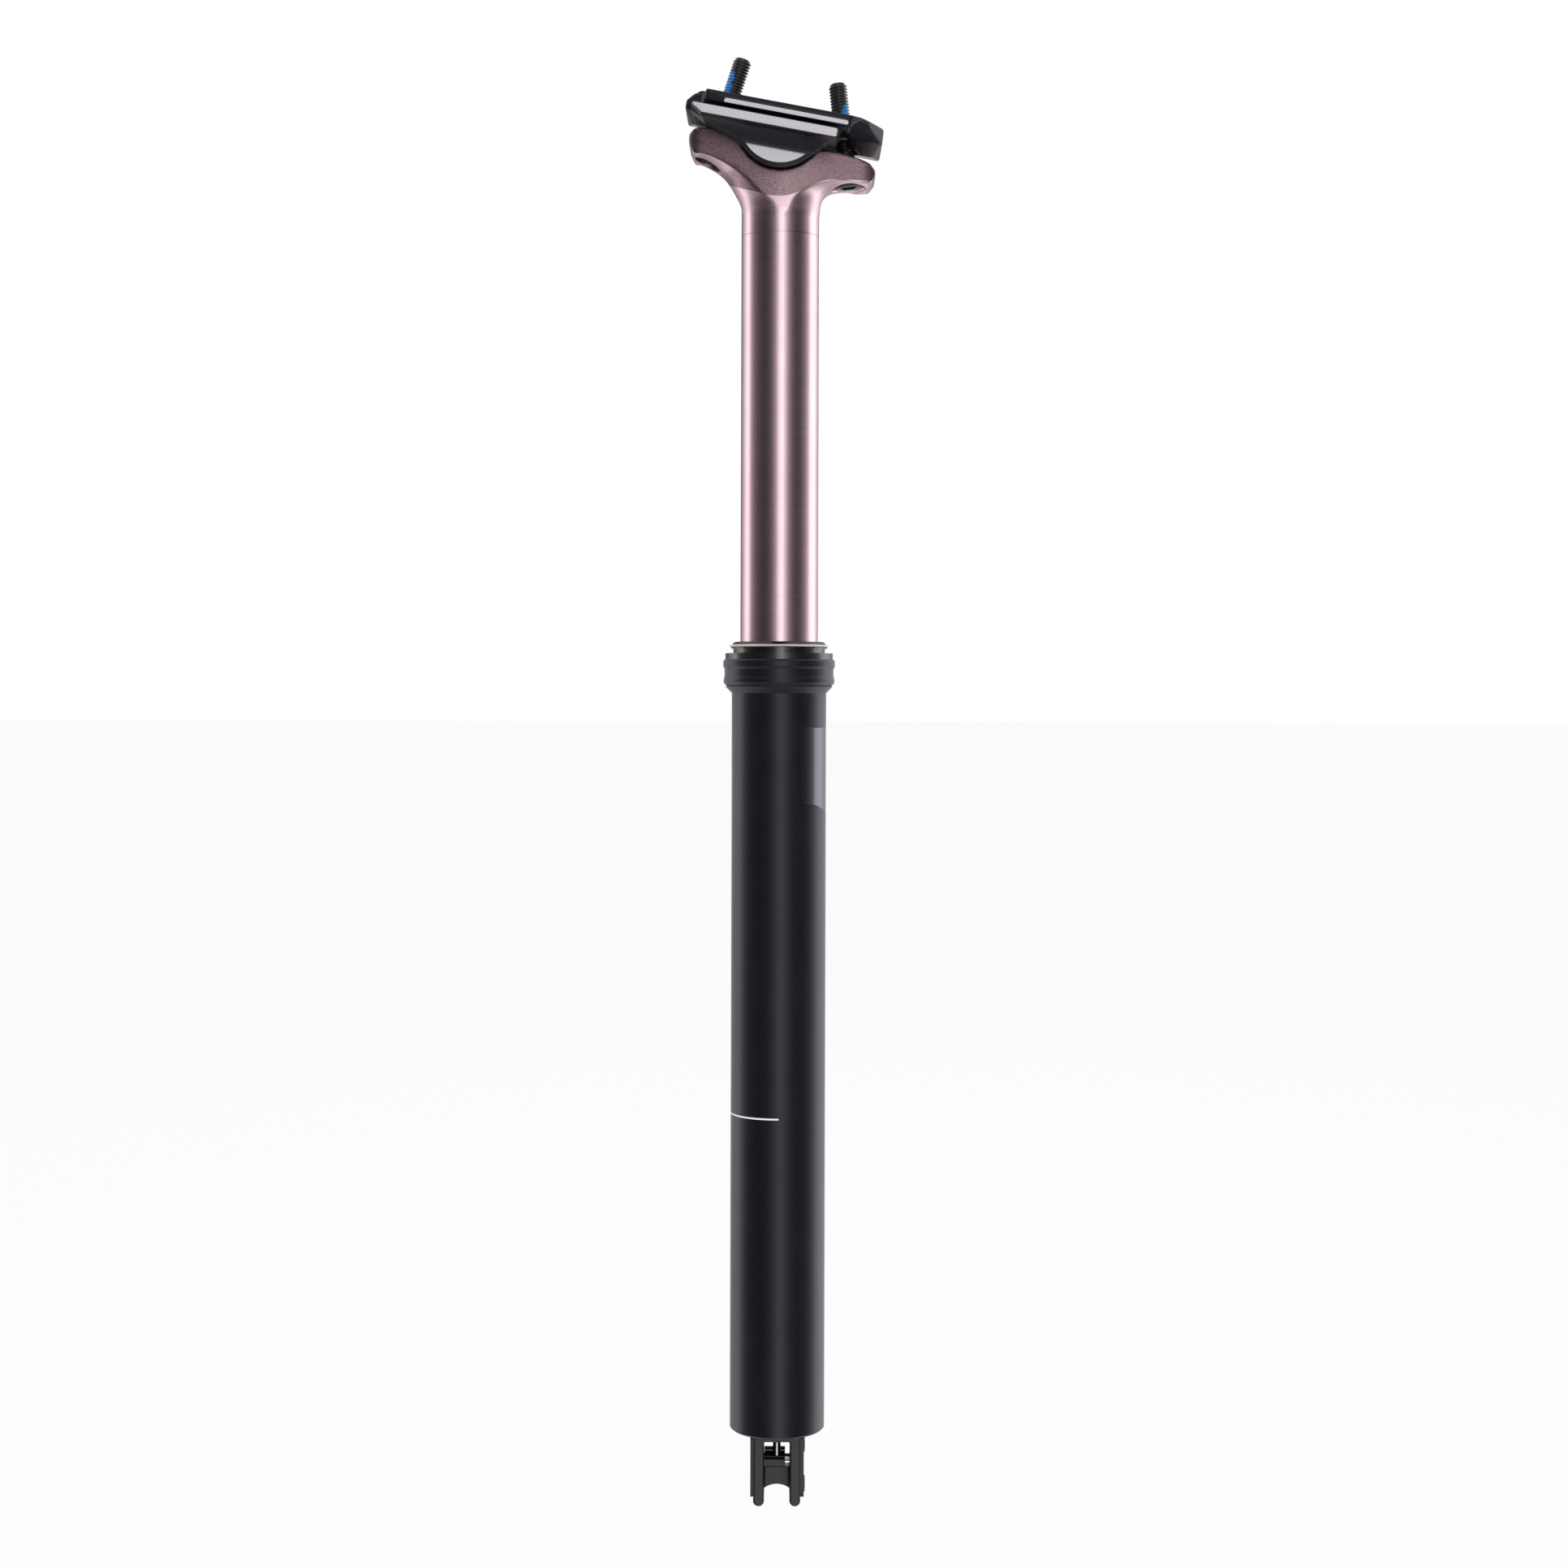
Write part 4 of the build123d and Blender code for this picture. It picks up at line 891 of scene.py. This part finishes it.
    def lamps(self) -> None:
        """Three large soft lamps, kept out of the reflections."""
        for name, place, size, power in self.lamp_places:
            data = bpy.data.lights.new(name, "AREA")
            data.size = size
            data.energy = power
            lamp = bpy.data.objects.new(name, data)
            lamp.location = place
            lamp.rotation_euler = (-Vector(place)).to_track_quat("-Z", "Y").to_euler()
            lamp.visible_glossy = False
            bpy.context.scene.collection.objects.link(lamp)


class Shop:
    """Makes objects from bmeshes and dresses pieces."""

    @staticmethod
    def finish(shape: bmesh.types.BMesh, name: str, material: bpy.types.Material, body: Body,
               *nodes: str, smooth_angle: float = HARD_EDGE_ANGLE) -> bpy.types.Object:
        """Turns a bmesh into a piece of the object.

        Args:
            shape: the bmesh, in metres and in place; it is freed.
            name: the piece's name.
            material: its finish.
            body: the body that it rides on.
            nodes: the solids that it stands for.
            smooth_angle: edges sharper than this stay sharp, in degrees.

        Returns:
            The new object.
        """
        bmesh.ops.recalc_face_normals(shape, faces=shape.faces)
        mesh = bpy.data.meshes.new(name)
        shape.to_mesh(mesh)
        shape.free()
        mesh.materials.append(material)
        mesh.shade_smooth()
        mesh.set_sharp_from_angle(angle=math.radians(smooth_angle))
        piece = bpy.data.objects.new(name, mesh)
        bpy.context.scene.collection.objects.link(piece)
        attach(piece, body.value)
        if nodes:
            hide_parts(*nodes)
        LOG.info("%s: %d faces", name, len(mesh.polygons))
        return piece

    @staticmethod
    def turned(profile: Iterable[Pair], steps: int) -> bmesh.types.BMesh:
        """Spins a closed outline about the post's axis.

        Args:
            profile: radius and height of each corner, in metres.
            steps: how many sides the round has.

        Returns:
            The spun shape.
        """
        shape = bmesh.new()
        corners = [shape.verts.new((radius, 0.0, height)) for radius, height in profile]
        edges = [shape.edges.new(pair) for pair in zip(corners, corners[1:] + corners[:1])]
        bmesh.ops.spin(shape, geom=corners + edges, cent=(0.0, 0.0, 0.0), axis=(0.0, 0.0, 1.0),
                       angle=math.tau, steps=steps, use_merge=True, use_duplicate=False)
        bmesh.ops.remove_doubles(shape, verts=shape.verts, dist=SPIN_GAP)
        return shape

    @staticmethod
    def copy_of(node: str) -> bmesh.types.BMesh:
        """A copy of a solid's mesh with its doubles merged and its flat parts made whole.

        Args:
            node: the solid's name.

        Returns:
            The copy.
        """
        shape = bmesh.new()
        shape.from_mesh(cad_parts[node].data)
        bmesh.ops.remove_doubles(shape, verts=shape.verts, dist=MERGE_GAP)
        bmesh.ops.dissolve_limit(shape, angle_limit=math.radians(FLAT_ANGLE), verts=shape.verts,
                                 edges=shape.edges)
        return shape

    @staticmethod
    def cut(shape: bmesh.types.BMesh, place: Vector, away: Vector) -> None:
        """Cuts a closed shape with a plane, drops what lies beyond it and closes the cut.

        Args:
            shape: the closed shape.
            place: a point of the plane.
            away: the plane's normal, towards what is dropped.
        """
        everything = shape.verts[:] + shape.edges[:] + shape.faces[:]
        bmesh.ops.bisect_plane(shape, geom=everything, dist=PLANE_GAP, plane_co=place, plane_no=away,
                               clear_outer=True)
        rim = [edge for edge in shape.edges if edge.is_boundary
               and all(abs((corner.co - place).dot(away)) < RIM_GAP for corner in edge.verts)]
        bmesh.ops.triangle_fill(shape, use_beauty=True, edges=rim)

    @staticmethod
    def joined(first: bmesh.types.BMesh, second: bmesh.types.BMesh) -> bmesh.types.BMesh:
        """Adds one shape to another.

        Args:
            first: the shape that grows.
            second: the shape that is added; it is freed.

        Returns:
            The first shape.
        """
        mesh = bpy.data.meshes.new("joint")
        second.to_mesh(mesh)
        second.free()
        first.from_mesh(mesh)
        bpy.data.meshes.remove(mesh)
        return first

    @staticmethod
    def softened(shape: bmesh.types.BMesh, voxel: float, passes: int,
                 turn: float = 0.0) -> bmesh.types.BMesh:
        """Remeshes a closed shape evenly and smooths it, so that its edges come out rounded.

        Args:
            shape: the closed shape; it is freed.
            voxel: the size of the new faces.
            passes: how often it is smoothed.
            turn: degrees about the rocker's axis that bring its flats square to the frame.

        Returns:
            The rounded shape, in its place.
        """
        swing = (Matrix.Translation(ROCKER.origin) @ Matrix.Rotation(math.radians(turn), 4, "Y")
                 @ Matrix.Translation(-ROCKER.origin))
        bmesh.ops.transform(shape, matrix=swing, verts=shape.verts)
        mesh = bpy.data.meshes.new("work")
        shape.to_mesh(mesh)
        shape.free()
        worker = bpy.data.objects.new("work", mesh)
        bpy.context.scene.collection.objects.link(worker)
        remesh = worker.modifiers.new("even", "REMESH")
        remesh.mode = "VOXEL"
        remesh.voxel_size = voxel
        result = bmesh.new()
        result.from_object(worker, bpy.context.evaluated_depsgraph_get())
        bpy.data.objects.remove(worker)
        for _ in range(passes):
            bmesh.ops.smooth_vert(result, verts=result.verts, factor=0.5, use_axis_x=True, use_axis_y=True,
                                  use_axis_z=True)
        bmesh.ops.transform(result, matrix=swing.inverted(), verts=result.verts)
        return result

    @staticmethod
    def dress(material: bpy.types.Material, *nodes: str) -> None:
        """Gives solids of the frame a finish.

        Args:
            material: the finish.
            nodes: the solids' names.
        """
        for node in nodes:
            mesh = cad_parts[node].data
            mesh.materials.clear()
            mesh.materials.append(material)
            mesh.polygons.foreach_set("material_index", [0] * len(mesh.polygons))


@dataclass
class Stanchion:
    """The sliding tube and its forged head, whose sides narrow towards the wings' ends."""

    node: str = "stanchion"
    joint_height: float = 149.0 * MM
    wall: float = 1.5 * MM
    true_height: float = 153.6 * MM
    radius: float = 12.7 * MM
    sides: int = 192
    voxel: float = 0.36 * MM
    passes: int = 10
    core: float = 7.0 * MM
    reach: float = 30.0 * MM
    narrowing: float = 0.6
    narrowing_ease: float = 10.0 * MM
    narrowing_bend: float = 0.35
    neck_share: float = 0.95
    finish: StanchionFinish = StanchionFinish()

    def build(self) -> None:
        """Makes the tube and the head."""
        material = self.finish.build()
        middle = Vector((0.0, 0.0, self.joint_height))
        up = Vector((0.0, 0.0, 1.0))
        foot = Shop.copy_of(self.node)
        Shop.cut(foot, Vector((0.0, 0.0, 0.0)), up)
        Shop.finish(foot, "stanchion_foot", material, Body.UPPER_POST, self.node)
        outer, inner, top = self.radius, self.radius - self.wall, self.joint_height
        tube = Shop.turned([(inner, 0.0), (outer, 0.0), (outer, top), (inner, top)], self.sides)
        Shop.finish(tube, "stanchion_tube", material, Body.UPPER_POST, self.node)
        head = Shop.copy_of(self.node)
        Shop.cut(head, middle, -up)
        head = Shop.softened(head, self.voxel, self.passes)
        for corner in head.verts:
            self.shape_side(corner)
            self.true_up(corner)
        Shop.finish(head, "stanchion_head", material, Body.UPPER_POST, self.node,
                    smooth_angle=SOFT_EDGE_ANGLE)

    def shape_side(self, corner: bmesh.types.BMVert) -> None:
        """Draws the head's broad sides in, the more the nearer they are to a wing's end.

        Args:
            corner: a corner of the head's mesh.
        """
        side = abs(corner.co.y)
        if corner.co.z < self.true_height or side < self.core:
            return
        ease = min((corner.co.z - self.true_height) / self.narrowing_ease, 1.0)
        share = min(abs(corner.co.x) / self.reach, 1.0)
        along = share * share * (1.0 + self.narrowing_bend) / (share + self.narrowing_bend)
        side = self.core + (side - self.core) * (1.0 - self.narrowing * along * ease)
        corner.co.y = math.copysign(side, corner.co.y)

    def true_up(self, corner: bmesh.types.BMVert) -> None:
        """Puts the foot of the head back on the tube's true radius.

        Args:
            corner: a corner of the head's mesh.
        """
        from_axis = math.hypot(corner.co.x, corner.co.y)
        if corner.co.z < self.true_height and from_axis > self.radius * self.neck_share:
            corner.co.x *= self.radius / from_axis
            corner.co.y *= self.radius / from_axis
        corner.co.z = max(corner.co.z, self.joint_height)


@dataclass
class RailClamp:
    """The lower cradle and the upper clamp, with machined edges."""

    voxel: float = 0.38 * MM
    passes: int = 2

    def build(self) -> None:
        """Makes both halves."""
        halves = (
            ("cradle_body", "lower_cradle", ClampFinish("black_cradle")),
            ("clamp_body", "upper_clamp",
             ClampFinish("black_clamp", strip=(-18.3 * MM, 21.6 * MM, 0.62 * MM, 2.1 * MM), belly=False)),
        )
        for name, node, finish in halves:
            half = Shop.softened(Shop.copy_of(node), self.voxel, self.passes, -ROCKER.degrees)
            Shop.finish(half, name, finish.build(), Body.CLAMP, node, smooth_angle=SOFT_EDGE_ANGLE)


@dataclass
class ClampScrew:
    """A clamp screw: its head and shank from the solid, and a true helical thread.

    The lean's origin is the middle of the screw's seat. The patch is the blue one's start and end, from
    the seat, and its side is 1 at the rear and -1 at the front.
    """

    name: str
    node: str
    body: Body
    lean: Lean
    patch: Pair
    patch_side: float
    reach: float = 29.2 * MM
    thread_length: float = 23.0 * MM
    pitch: float = 1.0 * MM
    crest: float = 2.98 * MM
    root: float = 2.42 * MM
    root_share: float = 0.2
    crest_share: float = 0.14
    tip_share: float = 0.88
    tip_slope: float = 0.9
    overlap: float = 0.05 * MM
    spare_turns: int = 3
    steps: int = 28

    def build(self) -> None:
        """Makes the screw."""
        start = self.reach - self.thread_length
        shank = Shop.copy_of(self.node)
        Shop.cut(shank, self.at(start + self.overlap), self.lean.up)
        screw = Shop.joined(self.thread(start), shank)
        finish = ScrewFinish(f"{self.node}_oxide", self.lean, *self.patch, self.patch_side)
        Shop.finish(screw, self.name, finish.build(), self.body, self.node, smooth_angle=THREAD_ANGLE)

    def at(self, height: float) -> Vector:
        """A point on the screw's axis."""
        return self.lean.origin + self.lean.up * height

    def thread(self, start: float) -> bmesh.types.BMesh:
        """Winds the thread and cuts it off square at both ends.

        Args:
            start: where the thread begins, above the seat.

        Returns:
            The closed thread.
        """
        shape = bmesh.new()
        turns = math.ceil(self.thread_length / self.pitch) + self.spare_turns
        foot, crest = self.root_share / 2, (1.0 - self.crest_share) / 2
        profile = ((self.root, 0.0), (self.root, foot), (self.crest, crest), (self.crest, 1.0 - crest),
                   (self.root, 1.0 - foot), (self.root, 1.0))
        low = start - self.pitch * self.spare_turns / 2
        corners = [shape.verts.new(self.at(low + share * self.pitch) + self.lean.flat * radius)
                   for radius, share in profile]
        edges = [shape.edges.new(pair) for pair in zip(corners, corners[1:])]
        bmesh.ops.spin(shape, geom=corners + edges, cent=self.lean.origin, axis=self.lean.up,
                       dvec=self.lean.up * (self.pitch / self.steps), angle=math.tau * turns,
                       steps=turns * self.steps, use_merge=False, use_duplicate=False)
        bmesh.ops.remove_doubles(shape, verts=shape.verts, dist=THREAD_GAP)
        for corner in shape.verts:
            self.taper(corner)
        Shop.cut(shape, self.at(self.reach), self.lean.up)
        Shop.cut(shape, self.at(start), -self.lean.up)
        return shape

    def taper(self, corner: bmesh.types.BMVert) -> None:
        """Draws the thread in at the screw's tip.

        Args:
            corner: a corner of the thread's mesh.
        """
        offset = corner.co - self.lean.origin
        height = offset.dot(self.lean.up)
        radial = offset - self.lean.up * height
        limit = self.root * self.tip_share + max(self.reach - height, 0.0) * self.tip_slope
        if radial.length > limit:
            corner.co = self.at(height) + radial.normalized() * limit


@dataclass
class GarterSpring:
    """The coiled spring round the wiper's lip."""

    node: str = "wiper_spring"
    turns: int = 380
    steps: int = 8
    wire: float = 0.12 * MM
    finish: PlainFinish = PlainFinish("garter_steel", (0.86, 0.82, 0.72), 0.6, 0.4)

    def build(self) -> None:
        """Winds the spring inside its solid's box."""
        low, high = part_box(self.node)
        height = (low.z + high.z) / 2
        coil = (high.z - low.z) / 2 - self.wire
        radius = high.x - (high.z - low.z) / 2
        curve = bpy.data.curves.new("garter_spring", "CURVE")
        curve.dimensions = "3D"
        curve.bevel_depth = self.wire
        curve.bevel_resolution = 1
        count = self.turns * self.steps
        spline = curve.splines.new("POLY")
        spline.points.add(count - 1)
        for index, point in enumerate(spline.points):
            turn = math.tau * index / count
            twist = turn * self.turns
            out = radius + coil * math.cos(twist)
            point.co = (out * math.cos(turn), out * math.sin(turn), height + coil * math.sin(twist), 1.0)
        spline.use_cyclic_u = True
        worker = bpy.data.objects.new("garter_work", curve)
        bpy.context.scene.collection.objects.link(worker)
        mesh = bpy.data.meshes.new_from_object(worker.evaluated_get(bpy.context.evaluated_depsgraph_get()))
        bpy.data.objects.remove(worker)
        shape = bmesh.new()
        shape.from_mesh(mesh)
        Shop.finish(shape, "garter_spring", self.finish.build(), Body.LOWER_POST, self.node,
                    smooth_angle=SOFT_EDGE_ANGLE)


@dataclass
class Actuator:
    """The fork under the tube, with moulded edges."""

    node: str = "actuator_housing"
    voxel: float = 0.22 * MM
    passes: int = 3
    finish: PlainFinish = PlainFinish("actuator_black", (0.008, 0.0075, 0.009), 0.0, 0.3)

    def build(self) -> None:
        """Makes the fork."""
        fork = Shop.softened(Shop.copy_of(self.node), self.voxel, self.passes)
        Shop.finish(fork, "actuator_fork", self.finish.build(), Body.LOWER_POST, self.node,
                    smooth_angle=SOFT_EDGE_ANGLE)


def dress_solids() -> None:
    """Gives the solids that stay in view or inside their finishes."""
    finishes = (
        (PostFinish(), ("outer_tube", "seal_collar")),
        (PlainFinish("wiper_rubber", (0.006, 0.006, 0.007), 0.0, 0.08, specular=1.0), ("dust_wiper",)),
        (PlainFinish("seal_rubber", (0.012, 0.012, 0.013), 0.0, 0.55),
         ("collar_seal", "plug_seal", "base_bumper", "piston_seal", "cap_seal", "gland_seal", "rod_seal",
          "top_bumper", "floating_seal")),
        (PlainFinish("felt_foam", (0.40, 0.37, 0.31), 0.0, 0.95, grain=900.0, depth=0.2 * MM),
         ("grease_foam",)),
        (PlainFinish("bushing_polymer", (0.06, 0.055, 0.05), 0.0, 0.5), ("upper_bushing", "lower_bushing")),
        (PlainFinish("key_brass", (0.66, 0.45, 0.16), 1.0, 0.28), ("guide_keys",)),
        (PlainFinish("inner_aluminium", (0.72, 0.72, 0.74), 1.0, 0.3, stretch=(0.03, 0.03, 1.0)),
         ("main_piston", "gas_cylinder", "cylinder_cap", "rod_gland", "gland_nut", "floating_piston")),
        (PlainFinish("rod_chrome", (0.62, 0.60, 0.62), 1.0, 0.16, stretch=(0.03, 0.03, 1.0)),
         ("piston_rod", "release_pin")),
        (PlainFinish("turned_steel", (0.42, 0.42, 0.44), 1.0, 0.3),
         ("lever_pivot_pin", "cable_barrel", "front_nut", "rear_nut", "front_washer", "rear_washer")),
        (PlainFinish("plate_black", (0.008, 0.008, 0.010), 0.0, 0.32),
         ("left_side_plate", "right_side_plate", "plate_screws", "base_plug", "release_lever")),
    )
    for finish, nodes in finishes:
        Shop.dress(finish.build(), *nodes)
        LOG.info("dressed %s", ", ".join(nodes))


def main() -> None:
    """Builds the studio and every piece."""
    logging.basicConfig(level=logging.INFO, format="%(name)s %(message)s")
    bpy.context.scene.view_settings.view_transform = "Standard"
    Studio().build()
    dress_solids()
    Stanchion().build()
    RailClamp().build()
    # The middle of each screw's seat, and the screw's lean.
    front = Lean(Vector((-21.36, 0.0, 179.5)) * MM, 18.22)
    rear = Lean(Vector((21.8, 0.0, 170.4)) * MM, -6.27)
    ClampScrew("front_clamp_screw", "front_bolt", Body.FRONT_SCREW, front, (13.0 * MM, 23.6 * MM),
               patch_side=-1.0).build()
    ClampScrew("rear_clamp_screw", "rear_bolt", Body.REAR_SCREW, rear, (12.0 * MM, 21.4 * MM),
               patch_side=1.0).build()
    GarterSpring().build()
    Actuator().build()


if __name__ == "__main__":
    main()
